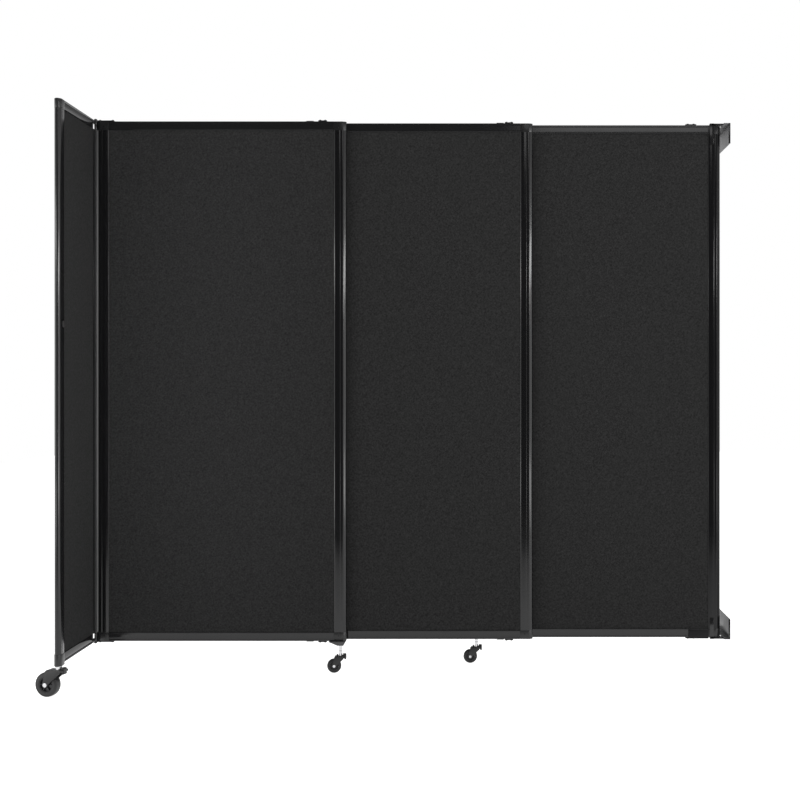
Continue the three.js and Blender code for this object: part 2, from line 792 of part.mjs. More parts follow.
// Arm under the wall panel's left post, reaching behind the partition. Its underside
// falls from a thin toe below the post to the boss that holds the caster's stem.
function rearOutrigger() {
  const x = rearCasterInset;
  const y = rearCasterOffset;
  const low = -fitGap - outriggerHeight;
  const toe = -fitGap - armToe;
  const shape = new THREE.Shape();
  shape.moveTo(-halfFrame, -fitGap);
  shape.lineTo(-halfFrame, toe);
  shape.lineTo(y - outriggerRound - armLevelFrom, low);
  shape.lineTo(y, low);
  shape.lineTo(y, -fitGap);
  const bore = uprightRod(panelCaster.stemRadius + fitGap, x, y, [low - cutPast, stileSetback], 28);
  return combine([
    lyingExtrusion(shape, -armPast, armWidth - armPast),
    uprightRod(outriggerRound, x, y, [low, -fitGap], 28),
    block(
      [padInset, stileWidth - padLap],
      [padLap - halfFrame, halfFrame - padLap],
      [toe / 2, stileSetback - fitGap],
    ),
  ], [bore]);
}

// Catch on the end panel's inner face

function catchDisc() {
  const face = halfFrame + fitGap;
  const x = endPanelWidth - catchInset;
  const disc = new THREE.CylinderGeometry(catchRadius - catchChamfer, catchRadius, catchHeight, 28);
  return disc.translate(x, face + catchHeight / 2, catchLevel);
}

// Assembly

const wallPanelLeft = -wallGap - panelWidth;
const middlePanelLeft = wallPanelLeft + innerOverlap - panelWidth;
const leadingPanelLeft = middlePanelLeft + outerOverlap - panelWidth;
const middlePanelY = -panelPitch;
const leadingPanelY = -2 * panelPitch;

const partition = new THREE.Group();
partition.position.set(
  0,
  -(plateLength / 2 - plateForward),
  -(plateHeight / 2 - flangeThickness - fitGap),
);

const wallPanel = new THREE.Group();
wallPanel.position.set(wallPanelLeft, 0, 0);
wallPanel.add(
  ...panelPieces('panel_3', panelWidth),
  piece('wall_bracket_top', wallBracket(1), 'steel'),
  piece('wall_bracket_bottom', turnedOver(wallBracket(-1)), 'steel'),
  piece('panel_3_top_guide', guide(1), 'nylon'),
  piece('panel_3_bottom_guide', turnedOver(guide(-1)), 'nylon'),
  piece('panel_3_top_stop', endStop(1, false), 'nylon'),
  piece('panel_3_bottom_stop', turnedOver(endStop(-1, true)), 'nylon'),
  piece('caster_3_outrigger', rearOutrigger(), 'steel'),
);

const middlePanel = new THREE.Group();
middlePanel.position.set(middlePanelLeft, middlePanelY, 0);
middlePanel.add(
  ...panelPieces('panel_2', panelWidth),
  piece('panel_2_top_carriage', carriage(1), 'nylon'),
  piece('panel_2_bottom_carriage', turnedOver(carriage(-1)), 'nylon'),
  piece('panel_2_top_guide', guide(1), 'nylon'),
  piece('panel_2_bottom_guide', turnedOver(guide(-1)), 'nylon'),
);

const leadingPanel = new THREE.Group();
leadingPanel.position.set(leadingPanelLeft, leadingPanelY, 0);
leadingPanel.add(
  ...panelPieces('panel_1', panelWidth),
  piece('panel_1_top_carriage', carriage(1), 'nylon'),
  piece('panel_1_bottom_carriage', turnedOver(carriage(-1)), 'nylon'),
  piece('hinge_bracket_top', hingeBracket(1), 'steel'),
  piece('hinge_bracket_bottom', turnedOver(hingeBracket(-1)), 'steel'),
  piece('hinge_pin_top', hingePin(1), 'steel'),
  piece('hinge_pin_bottom', turnedOver(hingePin(-1)), 'steel'),
  piece('caster_2_outrigger', frontOutrigger(), 'steel'),
);

const endPanel = new THREE.Group();
const hingedEndY = leadingPanelY - halfFrame - pivotFront - pivotPast;
endPanel.position.set(leadingPanelLeft - halfFrame, hingedEndY, 0);
endPanel.rotation.z = -Math.PI / 2;
endPanel.add(
  ...panelPieces('end_panel', endPanelWidth, true),
  piece('hinge_arm_top', hingeArm(1), 'steel'),
  piece('hinge_arm_bottom', turnedOver(hingeArm(-1)), 'steel'),
  piece('hinge_seal', hingeSeal(), 'rubber'),
  piece('end_panel_catch', catchDisc(), 'nylon'),
);

const postSeat = floorClearance + stileSetback;
const outriggerSeat = floorClearance - fitGap - outriggerHeight;

const caster1 = caster('caster_1', endCaster, postSeat, stemPlug, endCasterTurn);
caster1.position.set(
  leadingPanelLeft - halfFrame,
  hingedEndY - endPanelWidth + endCasterInset,
  -floorClearance,
);

const caster2 = caster('caster_2', panelCaster, outriggerSeat, outriggerHeight, frontCasterTurn);
caster2.position.set(
  leadingPanelLeft + panelWidth - frontCasterInset,
  leadingPanelY - frontCasterOffset,
  -floorClearance,
);

const caster3 = caster('caster_3', panelCaster, outriggerSeat, outriggerHeight, rearCasterTurn);
caster3.position.set(wallPanelLeft + rearCasterInset, rearCasterOffset, -floorClearance);

partition.add(wallPanel, middlePanel, leadingPanel, endPanel, caster1, caster2, caster3);

export default partition;
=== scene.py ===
import json
import math

import bmesh
import bpy
from mathutils import Matrix, Vector


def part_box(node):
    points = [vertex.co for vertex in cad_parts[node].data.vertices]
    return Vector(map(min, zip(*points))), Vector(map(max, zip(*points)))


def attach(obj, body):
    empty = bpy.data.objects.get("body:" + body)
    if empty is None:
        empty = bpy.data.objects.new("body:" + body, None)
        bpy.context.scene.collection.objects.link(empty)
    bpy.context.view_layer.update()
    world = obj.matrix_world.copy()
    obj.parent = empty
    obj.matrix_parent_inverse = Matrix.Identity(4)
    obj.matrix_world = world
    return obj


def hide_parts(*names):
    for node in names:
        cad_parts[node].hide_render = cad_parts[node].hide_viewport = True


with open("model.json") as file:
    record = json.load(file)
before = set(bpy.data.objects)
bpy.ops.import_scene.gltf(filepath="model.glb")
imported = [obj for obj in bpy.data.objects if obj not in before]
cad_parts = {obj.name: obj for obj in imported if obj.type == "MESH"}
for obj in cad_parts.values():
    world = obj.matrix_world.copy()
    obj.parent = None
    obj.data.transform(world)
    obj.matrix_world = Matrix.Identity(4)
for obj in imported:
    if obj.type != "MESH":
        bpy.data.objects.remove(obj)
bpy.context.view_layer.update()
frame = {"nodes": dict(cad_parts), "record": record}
nodes = frame["nodes"]
mm = 0.001
print("frame loaded,", len(nodes), "nodes")

# camera
shot = {
    "place": (-0.806, -4.665, 0.8323),
    "lens": 60.975,
    "shiftX": -0.1131,
    "shiftY": -0.0231,
}

cameraData = bpy.data.cameras.new("shotCamera")
cameraData.lens = shot["lens"]
cameraData.sensor_width = 36
cameraData.shift_x = shot["shiftX"]
cameraData.shift_y = shot["shiftY"]
cameraData.clip_end = 100
camera = bpy.data.objects.new("shotCamera", cameraData)
camera.location = shot["place"]
camera.rotation_euler = (math.pi / 2, 0, 0)
bpy.context.collection.objects.link(camera)
bpy.context.scene.camera = camera
bpy.context.scene.view_settings.view_transform = "Standard"
print("camera placed")


# mesh helpers; sizes are in millimetres until a mesh is placed

def newMesh(bm, name):
    mesh = bpy.data.meshes.new(name)
    bmesh.ops.recalc_face_normals(bm, faces=bm.faces[:])
    bm.to_mesh(mesh)
    bm.free()
    return mesh


def addPiece(name, mesh, material, body, replaced=(), smoothAngle=34, place=None):
    if place is not None:
        mesh.transform(place @ Matrix.Scale(mm, 4))
    mesh.shade_smooth()
    mesh.set_sharp_from_angle(angle=math.radians(smoothAngle))
    mesh.materials.clear()
    mesh.materials.append(material)
    obj = bpy.data.objects.new(name, mesh)
    bpy.context.collection.objects.link(obj)
    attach(obj, body)
    if replaced:
        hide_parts(*replaced)
    return obj


# a piece built in its panel's own millimetres
def addToPanel(panel, name, bm, material, replaced=()):
    mesh = newMesh(bm, name)
    return addPiece(name, mesh, material, panel["body"], replaced, place=panel["place"])


def roundSharp(bm, width, angle=30, segments=2):
    limit = math.radians(angle)
    sharp = [e for e in bm.edges if e.is_manifold and e.calc_face_angle(0) > limit]
    bmesh.ops.bevel(
        bm, geom=sharp, offset=width, segments=segments, profile=0.5,
        affect="EDGES", clamp_overlap=True,
    )
    return bm


# an outline, with its holes after it, pulled from start to end
def prism(loops, start, end, lay):
    bm = bmesh.new()
    rims = ([], [])
    for loop in loops:
        rings = [[bm.verts.new(lay(a, b, c)) for a, b in loop] for c in (start, end)]
        count = len(loop)
        for i in range(count):
            j = (i + 1) % count
            bm.faces.new((rings[0][i], rings[0][j], rings[1][j], rings[1][i]))
        for rim, ring in zip(rims, rings):
            rim += [bm.edges.get((ring[i], ring[(i + 1) % count])) for i in range(count)]
    for rim in rims:
        bmesh.ops.triangle_fill(bm, edges=rim, use_beauty=True)
    return bm


def middleOf(node):
    low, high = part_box(node)
    return (Vector(low) + Vector(high)) / 2


def alongZ(a, b, c):
    return (a, b, c)


def alongX(a, b, c):
    return (c, a, b)


def arc(cx, cy, rx, ry, start, end, steps):
    angles = [math.radians(start + (end - start) * i / steps) for i in range(steps + 1)]
    return [(cx + rx * math.cos(a), cy + ry * math.sin(a)) for a in angles]


# a block between three pairs of ends, its edges rounded
def addBlock(bm, x, y, z, edge=0.5):
    verts = bmesh.ops.create_cube(bm, size=1)["verts"]
    size = [abs(ends[1] - ends[0]) for ends in (x, y, z)]
    middle = [(ends[0] + ends[1]) / 2 for ends in (x, y, z)]
    bmesh.ops.scale(bm, vec=size, verts=verts)
    bmesh.ops.translate(bm, vec=middle, verts=verts)
    edges = list({e for v in verts for e in v.link_edges})
    width = min(edge, 0.4 * min(size))
    bmesh.ops.bevel(bm, geom=edges, offset=width, segments=2, profile=0.5, affect="EDGES")


def aboutY(a, b, c):
    return (a, c, b)


# pairs of radius and place along the axis, revolved; a radius of zero closes an end
def addTurned(bm, profile, steps, lay=aboutY, centre=(0, 0, 0)):
    rings = []
    for radius, across in profile:
        count = 1 if radius < 1e-6 else steps
        angles = [2 * math.pi * i / steps for i in range(count)]
        points = [Vector(lay(radius * math.cos(a), radius * math.sin(a), across)) for a in angles]
        rings.append([bm.verts.new(point + Vector(centre)) for point in points])
    for first, second in zip(rings, rings[1:]):
        for i in range(steps):
            j = (i + 1) % steps
            corners = [(first, i), (first, j), (second, j), (second, i)]
            kept = list(dict.fromkeys(ring[n % len(ring)] for ring, n in corners))
            if len(kept) > 2:
                bm.faces.new(kept)
    return bm


# a copy of a CAD solid with its edges rounded; whatever stands above `level`, such as a
# plain screw head, is cut away
def softened(node, name, width, level=None, up=1):
    source = nodes[node]
    bm = bmesh.new()
    bm.from_mesh(source.data)
    bm.transform(source.matrix_world)
    bmesh.ops.remove_doubles(bm, verts=bm.verts[:], dist=0.002 * mm)
    if level is not None:
        geom = bm.verts[:] + bm.edges[:] + bm.faces[:]
        bmesh.ops.bisect_plane(
            bm, geom=geom, plane_co=(0, 0, level), plane_no=(0, 0, up),
            clear_outer=True, dist=1e-7,
        )
        bmesh.ops.holes_fill(bm, edges=[e for e in bm.edges if e.is_boundary])
    bmesh.ops.dissolve_limit(
        bm, angle_limit=math.radians(0.5), verts=bm.verts[:], edges=bm.edges[:],
    )
    roundSharp(bm, width * mm)
    bmesh.ops.triangulate(bm, faces=[f for f in bm.faces if len(f.verts) > 4])
    return newMesh(bm, name)


# shader groups

def shaderGroup(name, inputs, outputs):
    group = bpy.data.node_groups.new(name, "ShaderNodeTree")
    for label, kind, value in inputs:
        socket = group.interface.new_socket(label, in_out="INPUT", socket_type=kind)
        if value is not None:
            socket.default_value = value
    for label, kind in outputs:
        group.interface.new_socket(label, in_out="OUTPUT", socket_type=kind)
    return group, group.nodes.new("NodeGroupInput"), group.nodes.new("NodeGroupOutput")


# a socket takes a link or a plain value
def feed(tree, socket, value):
    if isinstance(value, bpy.types.NodeSocket):
        tree.links.new(value, socket)
    else:
        socket.default_value = value


def mathNode(tree, operation, *values):
    node = tree.nodes.new("ShaderNodeMath")
    node.operation = operation
    for socket, value in zip(node.inputs, values):
        feed(tree, socket, value)
    return node.outputs[0]


def times(tree, a, b):
    return mathNode(tree, "MULTIPLY", a, b)


def plus(tree, a, b):
    return mathNode(tree, "ADD", a, b)


def noiseNode(tree, vector, scale, detail=3.0, roughness=0.55):
    node = tree.nodes.new("ShaderNodeTexNoise")
    node.inputs["Detail"].default_value = detail
    node.inputs["Roughness"].default_value = roughness
    tree.links.new(vector, node.inputs["Vector"])
    feed(tree, node.inputs["Scale"], scale)
    return node.outputs["Fac"]


floatKind = "NodeSocketFloat"
vectorKind = "NodeSocketVector"


def makeGrain():
    group, given, out = shaderGroup(
        "grain",
        [("Vector", vectorKind, None), ("Scale", floatKind, 600.0), ("Spread", floatKind, 0.2)],
        [("Factor", floatKind), ("Height", floatKind)],
    )
    fine = noiseNode(group, given.outputs["Vector"], given.outputs["Scale"], 2.0)
    wider = times(group, given.outputs["Scale"], 0.23)
    coarse = noiseNode(group, given.outputs["Vector"], wider)
    fineShare = times(group, fine, 0.6)
    coarseShare = times(group, coarse, 0.4)
    mixed = plus(group, fineShare, coarseShare)
    centred = times(group, mathNode(group, "SUBTRACT", mixed, 0.5), 2.0)
    spread = times(group, centred, given.outputs["Spread"])
    group.links.new(plus(group, spread, 1.0), out.inputs["Factor"])
    group.links.new(mixed, out.inputs["Height"])
    return group


def makeSmudge():
    group, given, out = shaderGroup(
        "smudge",
        [("Vector", vectorKind, None), ("Scale", floatKind, 8.0),
         ("Low", floatKind, 0.1), ("High", floatKind, 0.2)],
        [("Roughness", floatKind)],
    )
    cloud = noiseNode(group, given.outputs["Vector"], given.outputs["Scale"], 6.0, 0.65)
    spread = group.nodes.new("ShaderNodeMapRange")
    spread.inputs["From Min"].default_value = 0.35
    spread.inputs["From Max"].default_value = 0.7
    group.links.new(cloud, spread.inputs["Value"])
    group.links.new(given.outputs["Low"], spread.inputs["To Min"])
    group.links.new(given.outputs["High"], spread.inputs["To Max"])
    group.links.new(spread.outputs["Result"], out.inputs["Roughness"])
    return group


def makeWeave():
    group, given, out = shaderGroup(
        "weave",
        [("Vector", vectorKind, None), ("Pitch", floatKind, 1000.0)],
        [("Height", floatKind)],
    )
    parts = []
    split = group.nodes.new("ShaderNodeSeparateXYZ")
    group.links.new(given.outputs["Vector"], split.inputs[0])
    across = plus(group, split.outputs["X"], split.outputs["Y"])
    for value in (across, split.outputs["Z"]):
        pitched = times(group, value, given.outputs["Pitch"])
        parts.append(mathNode(group, "SINE", times(group, pitched, math.pi)))
    crossed = times(group, parts[0], parts[1])
    height = plus(group, times(group, crossed, 0.5), 0.5)
    group.links.new(height, out.inputs["Height"])
    return group


grain = makeGrain()
smudge = makeSmudge()
weave = makeWeave()


def useGroup(tree, group, vector, **values):
    node = tree.nodes.new("ShaderNodeGroup")
    node.node_tree = group
    tree.links.new(vector, node.inputs["Vector"])
    for label, value in values.items():
        node.inputs[label].default_value = value
    return node


def startMaterial(name, roughness, metallic=0.0):
    material = bpy.data.materials.new(name)
    material.use_nodes = True
    tree = material.node_tree
    shader = tree.nodes["Principled BSDF"]
    shader.inputs["Roughness"].default_value = roughness
    shader.inputs["Metallic"].default_value = metallic
    place = tree.nodes.new("ShaderNodeTexCoord").outputs["Object"]
    return material, tree, shader, place


def tint(tree, shader, color, factor):
    scaled = tree.nodes.new("ShaderNodeVectorMath")
    scaled.operation = "SCALE"
    scaled.inputs[0].default_value = color
    tree.links.new(factor, scaled.inputs["Scale"])
    tree.links.new(scaled.outputs["Vector"], shader.inputs["Base Color"])


def bump(tree, shader, height, distance, strength=1.0, under=None):
    node = tree.nodes.new("ShaderNodeBump")
    node.inputs["Strength"].default_value = strength
    node.inputs["Distance"].default_value = distance
    tree.links.new(height, node.inputs["Height"])
    if under is not None:
        tree.links.new(under, node.inputs["Normal"])
    tree.links.new(node.outputs["Normal"], shader.inputs["Normal"])
    return node.outputs["Normal"]


def hardMaterial(name, look):
    low, high = look["roughness"]
    material, tree, shader, place = startMaterial(name, low, look.get("metallic", 0.0))
    shader.inputs["Specular IOR Level"].default_value = look.get("specular", 0.5)
    grained = useGroup(tree, grain, place, Scale=look["grainScale"], Spread=look["grainSpread"])
    tint(tree, shader, look["color"], grained.outputs["Factor"])
    smudged = useGroup(tree, smudge, place, Scale=look["smudgeScale"], Low=low, High=high)
    tree.links.new(smudged.outputs["Roughness"], shader.inputs["Roughness"])
    bump(tree, shader, grained.outputs["Height"], look["bump"] * mm)
    return material


# finishes; the roughness runs from its first to its second value with the smudges
frameLook = {
    "color": (0.0062, 0.0062, 0.0066), "roughness": (0.1, 0.17),
    "grainScale": 1400.0, "grainSpread": 0.12, "smudgeScale": 9.0, "bump": 0.006,
}
# painted light: the top rails have the frame's own black finish, with a lighter base colour
# standing in for the light they catch
topRailLitLook = {**frameLook, "color": (0.0105, 0.0105, 0.011)}
# painted shade: the wall panel's right stile keeps the frame's finish with its reflection turned
# down, so that it reads darker beside the wall
wallStileShadedLook = {**frameLook, "specular": 0.28}
# painted shade: the end panel's bottom rail keeps the frame's finish with its reflection nearly
# off, so that it reads darker
endLowRailShadedLook = {**frameLook, "specular": 0.05}
bumperLook = {
    **frameLook, "color": (0.0075, 0.0075, 0.008), "roughness": (0.5, 0.6), "specular": 0.2,
}
capLook = {
    "color": (0.011, 0.011, 0.0115), "roughness": (0.26, 0.36),
    "grainScale": 1800.0, "grainSpread": 0.1, "smudgeScale": 20.0, "bump": 0.02,
}
nylonLook = {
    "color": (0.012, 0.012, 0.012), "roughness": (0.35, 0.5),
    "grainScale": 1500.0, "grainSpread": 0.15, "smudgeScale": 25.0, "bump": 0.03,
}
paintLook = {
    "color": (0.012, 0.012, 0.0125), "roughness": (0.12, 0.2),
    "grainScale": 700.0, "grainSpread": 0.14, "smudgeScale": 18.0, "bump": 0.015,
}
plateLook = {
    "color": (0.15, 0.15, 0.154), "metallic": 0.2, "roughness": (0.4, 0.52),
    "grainScale": 500.0, "grainSpread": 0.12, "smudgeScale": 14.0, "bump": 0.01,
}
# the outrigger wedges' own grey, which the lower wall angle also takes as painted shade
wedgeAndAngleShadeLook = {
    "color": (0.06, 0.06, 0.062), "roughness": (0.34, 0.46),
    "grainScale": 800.0, "grainSpread": 0.12, "smudgeScale": 18.0, "bump": 0.015,
}
chromeLook = {
    "color": (0.66, 0.66, 0.67), "metallic": 1.0, "roughness": (0.12, 0.24),
    "grainScale": 900.0, "grainSpread": 0.04, "smudgeScale": 40.0, "bump": 0.004,
}
zincLook = {
    **chromeLook, "color": (0.86, 0.86, 0.87), "metallic": 0.0, "roughness": (0.3, 0.42),
}
rubberLook = {
    "color": (0.013, 0.013, 0.0135), "roughness": (0.36, 0.5),
    "grainScale": 900.0, "grainSpread": 0.25, "smudgeScale": 30.0, "bump": 0.03,
}
hubLook = {
    "color": (0.016, 0.016, 0.017), "roughness": (0.18, 0.28),
    "grainScale": 1200.0, "grainSpread": 0.12, "smudgeScale": 30.0, "bump": 0.02,
}
glossBlack = hardMaterial("glossBlack", frameLook)
wallStileShadedBlack = hardMaterial("wallStileShadedBlack", wallStileShadedLook)
topRailLitBlack = hardMaterial("topRailLitBlack", topRailLitLook)
endLowRailShadedBlack = hardMaterial("endLowRailShadedBlack", endLowRailShadedLook)
bumperBlack = hardMaterial("bumperBlack", bumperLook)
capBlack = hardMaterial("capBlack", capLook)
nylonBlack = hardMaterial("nylonBlack", nylonLook)
paintBlack = hardMaterial("paintBlack", paintLook)
plateGrey = hardMaterial("plateGrey", plateLook)
wedgeGreyAndAngleShade = hardMaterial("wedgeGreyAndAngleShade", wedgeAndAngleShadeLook)
chrome = hardMaterial("chrome", chromeLook)
zinc = hardMaterial("zinc", zincLook)
wheelRubber = hardMaterial("wheelRubber", rubberLook)
hubGrey = hardMaterial("hubGrey", hubLook)

clothLook = {
    "color": (0.0242, 0.0242, 0.0242),
    "specular": 0.03,
    "turn": (0.62, 0.37, 0.45),  # so that no panel lies along a plane of the noise
    "speckle": 330.0,
    "speckleSpread": 0.4,
    "speckleDepth": 0.25,
    "mottle": 190.0,
    "mottleSpread": 0.75,
    "threads": 950.0,
    "threadDepth": 0.08,
}


def makeCloth(look):
    material, tree, shader, place = startMaterial("feltCloth", 0.95)
    shader.inputs["Specular IOR Level"].default_value = look["specular"]
    turn = tree.nodes.new("ShaderNodeMapping")
    turn.inputs["Rotation"].default_value = look["turn"]
    tree.links.new(place, turn.inputs["Vector"])
    oblique = turn.outputs["Vector"]
    speckled = useGroup(tree, grain, oblique, Scale=look["speckle"], Spread=look["speckleSpread"])
    cloud = mathNode(tree, "SUBTRACT", noiseNode(tree, oblique, look["mottle"], 1.5), 0.5)
    spread = times(tree, cloud, 2 * look["mottleSpread"])
    mottled = plus(tree, spread, 1.0)
    both = times(tree, speckled.outputs["Factor"], mottled)
    tint(tree, shader, look["color"], both)
    threads = useGroup(tree, weave, place, Pitch=look["threads"])
    under = bump(tree, shader, threads.outputs["Height"], look["threadDepth"] * mm, 0.6)
    bump(tree, shader, speckled.outputs["Height"], look["speckleDepth"] * mm, 0.5, under)
    return material


feltCloth = makeCloth(clothLook)
print("materials made")


# the panels' section; a panel is built with its left end, its mid plane and the
# underside of its rails at zero, and then put in its place
section = {
    "stile": 41.0,
    "narrowStile": 20.0,
    "thickness": 22.0,
    "nose": 12.5,
    "noseBulge": 15.0,  # half height of the ellipse that the rounded edge is cut from
    "noseSteps": 28,
    "lineAt": 20.0,
    "lineWidth": 1.5,
    "lineDepth": 0.35,
    "bead": 3.7,
    "beadDrop": 1.7,
    "beadRound": 0.5,
    "topBead": (1.5, 3.2),
    "lowBead": (0.6, 0.7),
    "slotDepth": 10.0,
    "slot": 16.6,
    "wall": 2.2,
    "chamber": 6.0,
    "chamberBevel": 3.0,
    "rail": 29.0,
    "railLine": 7.5,
    "railLineDepth": (0.14, 0.5),  # the end panel's line is the deeper one
    "mouth": 10.0,
    "track": 16.0,
    "trackDepth": 6.0,
    "lip": 2.0,
    "corner": 0.6,
    "fit": 0.3,  # air between a stile and a rail's end
}

panels = {
    "panel_1": {"body": "leading_panel", "label": "leading", "turned": False},
    "panel_2": {"body": "middle_panel", "label": "middle", "turned": False},
    "panel_3": {"body": "wall_panel", "label": "wall", "turned": False},
    "end_panel": {"body": "end_panel", "label": "end", "turned": True},
}


def measurePanel(key, panel):
    leftLow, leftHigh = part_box(key + "_left_stile")
    rightLow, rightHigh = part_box(key + "_right_stile")
    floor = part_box(key + "_bottom_rail")[0][2]
    panel["height"] = (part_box(key + "_top_rail")[1][2] - floor) / mm
    if panel["turned"]:
        panel["width"] = (leftHigh[1] - rightLow[1]) / mm
        start = Vector(((leftLow[0] + leftHigh[0]) / 2, leftHigh[1], floor))
        panel["place"] = Matrix.Translation(start) @ Matrix.Rotation(-math.pi / 2, 4, "Z")
    else:
        panel["width"] = (rightHigh[0] - leftLow[0]) / mm
        start = Vector((leftLow[0], (leftLow[1] + leftHigh[1]) / 2, floor))
        panel["place"] = Matrix.Translation(start)
    panel["leftEnds"] = ((leftLow[2] - floor) / mm, (leftHigh[2] - floor) / mm)
    panel["rightEnds"] = ((rightLow[2] - floor) / mm, (rightHigh[2] - floor) / mm)


for key, panel in panels.items():
    measurePanel(key, panel)


# the two corners of a node's box, seen from its panel
def boxIn(panel, node):
    back = panel["place"].inverted()
    return [back @ Vector(corner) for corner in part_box(node)]


def mirrored(points):
    return [(a, -b) for a, b in reversed(points)]


# a shallow groove across a face, given from its lower to its higher side
def groove(at, width, depth, face):
    return [(at - width / 2, face), (at, face - depth), (at + width / 2, face)]


# the rounded outer edge: the end of a long ellipse, so that it leaves the face at a slope
def noseArc(grow=0.0):
    s = section
    tall = s["noseBulge"]
    face = s["thickness"] / 2
    opened = math.asin(face / tall)
    wide = s["nose"] / (1 - math.cos(opened))
    points = []
    for i in range(s["noseSteps"] + 1):
        a = -opened + 2 * opened * i / s["noseSteps"]
        points.append((wide * (1 - math.cos(a)) - grow, tall * math.sin(a) * (face + grow) / face))
    return points


def stileLoops(width):
    s = section
    face = s["thickness"] / 2
    half = s["slot"] / 2
    slotEnd = width - s["slotDepth"]
    soft = s["beadRound"]
    hollow = width > s["narrowStile"]
    side = groove(s["lineAt"], s["lineWidth"], s["lineDepth"], face) if hollow else []
    side.append((width - s["bead"], face))
    side += arc(width - soft, face - s["beadDrop"] - soft, soft, soft, 63, 0, 4)
    side += [(width, half), (slotEnd, half)]
    outer = side + mirrored(side)
    outer += noseArc()
    if not hollow:
        return [outer]
    chamberEnd = slotEnd - s["wall"]
    inside = face - s["wall"]
    near = s["chamber"] + s["chamberBevel"]
    low = inside - s["chamberBevel"]
    hole = [(near, -inside), (chamberEnd, -inside), (chamberEnd, inside), (near, inside)]
    hole += [(s["chamber"], low), (s["chamber"], -low)]
    return [outer, hole]


def railLoops(bead, lineDepth):
    s = section
    face = s["thickness"] / 2
    half = s["slot"] / 2
    line = s["rail"] - s["railLine"]
    lip = s["rail"] - s["lip"]
    floor = s["rail"] - s["trackDepth"]
    side = [(half, s["slotDepth"]), (half, 0)]
    side += arc(face - bead[0], bead[1], bead[0], bead[1], -90, 0, 5)
    side += [(x, z) for z, x in groove(line, s["lineWidth"], lineDepth, face)]
    side += arc(face - s["corner"], s["rail"] - s["corner"], s["corner"], s["corner"], 0, 90, 4)
    side += [(s["mouth"] / 2, s["rail"]), (s["mouth"] / 2, lip)]
    side += [(s["track"] / 2, lip), (s["track"] / 2, floor)]
    outer = side + [(-x, z) for x, z in reversed(side)]
    inside = face - s["wall"]
    low = s["slotDepth"] + s["wall"]
    high = floor - s["wall"]
    hole = [(-inside, low), (inside, low), (inside, high), (-inside, high)]
    return [outer, hole]


def makeFrame(key, panel):
    width = panel["width"]
    rail = section["rail"]
    lineDepth = section["railLineDepth"][1 if panel["turned"] else 0]
    stile = stileLoops(section["stile"])
    hinged = stileLoops(section["narrowStile"]) if panel["turned"] else stile
    topRail = railLoops(section["topBead"], lineDepth)
    lowRail = railLoops(section["lowBead"], lineDepth)
    ends = (section["stile"] + section["fit"], width - section["stile"] - section["fit"])
    stay = Matrix.Identity(4)
    swap = Matrix.Translation((width, 0, 0)) @ Matrix.Rotation(math.pi, 4, "Z")
    lift = Matrix.Translation((0, 0, panel["height"] - rail))
    flip = Matrix.Translation((0, 0, rail)) @ Matrix.Rotation(math.pi, 4, "X")
    # the wall panel's right stile and the end panel's bottom rail take shaded copies of the finish
    # (painted shade), and the top rails its lit copy (painted light)
    rightBlack = wallStileShadedBlack if key == "panel_3" else glossBlack
    lowBlack = endLowRailShadedBlack if panel["turned"] else glossBlack
    bars = (
        ("LeftStile", "_left_stile", hinged, panel["leftEnds"], alongZ, stay, glossBlack),
        ("RightStile", "_right_stile", stile, panel["rightEnds"], alongZ, swap, rightBlack),
        ("TopRail", "_top_rail", topRail, ends, alongX, lift, topRailLitBlack),
        ("BottomRail", "_bottom_rail", lowRail, ends, alongX, flip, lowBlack),
    )
    for word, node, loops, reach, lay, move, black in bars:
        bm = prism(loops, *reach, lay)
        bm.transform(move)
        addToPanel(panel, panel["label"] + word, bm, black, [key + node])


for key, panel in panels.items():
    makeFrame(key, panel)
print("frames made")


# fabric: a board between two stretched sheets
cover = {
    "cloth": 0.6,
    "crown": 0.9,  # how far the cloth stands proud of where it enters the frame
    "roll": 7.0,
    "tuck": 10.0,  # of the cloth inside the frame
    "hingeRoom": 0.6,
    "boardFit": 0.1,
    "nearEdge": [0, 4, 8, 10, 11, 12.5, 14, 16, 19, 24, 32, 48],  # grid lines, from the rim in
    "inner": 8,  # even gaps between them
}


def spaced(start, end):
    near = cover["nearEdge"]
    inner = cover["inner"]
    length = end - start
    gap = (length - 2 * near[-1]) / inner
    middle = [near[-1] + gap * i for i in range(1, inner)]
    return [start + v for v in near + middle + [length - value for value in reversed(near)]]


# one side's cloth, rolled over at its rim; cells that keep() refuses are left open
def clothShell(xs, zs, side, half, keep):
    bm = bmesh.new()
    grid = {}
    for i, x in enumerate(xs):
        for j, z in enumerate(zs):
            inset = min(x - xs[0], xs[-1] - x, z - zs[0], zs[-1] - z) - cover["tuck"]
            rise = cover["crown"] * (1 - math.exp(-max(inset, 0) / cover["roll"]))
            grid[i, j] = bm.verts.new((x, side * (half + rise), z))
    for i in range(len(xs) - 1):
        for j in range(len(zs) - 1):
            if keep((xs[i] + xs[i + 1]) / 2, (zs[j] + zs[j + 1]) / 2):
                bm.faces.new((grid[i, j], grid[i + 1, j], grid[i + 1, j + 1], grid[i, j + 1]))
    bmesh.ops.delete(bm, geom=[v for v in bm.verts if not v.link_faces], context="VERTS")
    bmesh.ops.recalc_face_normals(bm, faces=bm.faces[:])
    if (bm.faces[:][0].normal.y > 0) != (side > 0):
        bmesh.ops.reverse_faces(bm, faces=bm.faces[:])
    shell = bmesh.ops.extrude_face_region(bm, geom=bm.faces[:])
    moved = [v for v in shell["geom"] if isinstance(v, bmesh.types.BMVert)]
    bmesh.ops.translate(bm, verts=moved, vec=(0, -side * cover["cloth"], 0))
    return bm


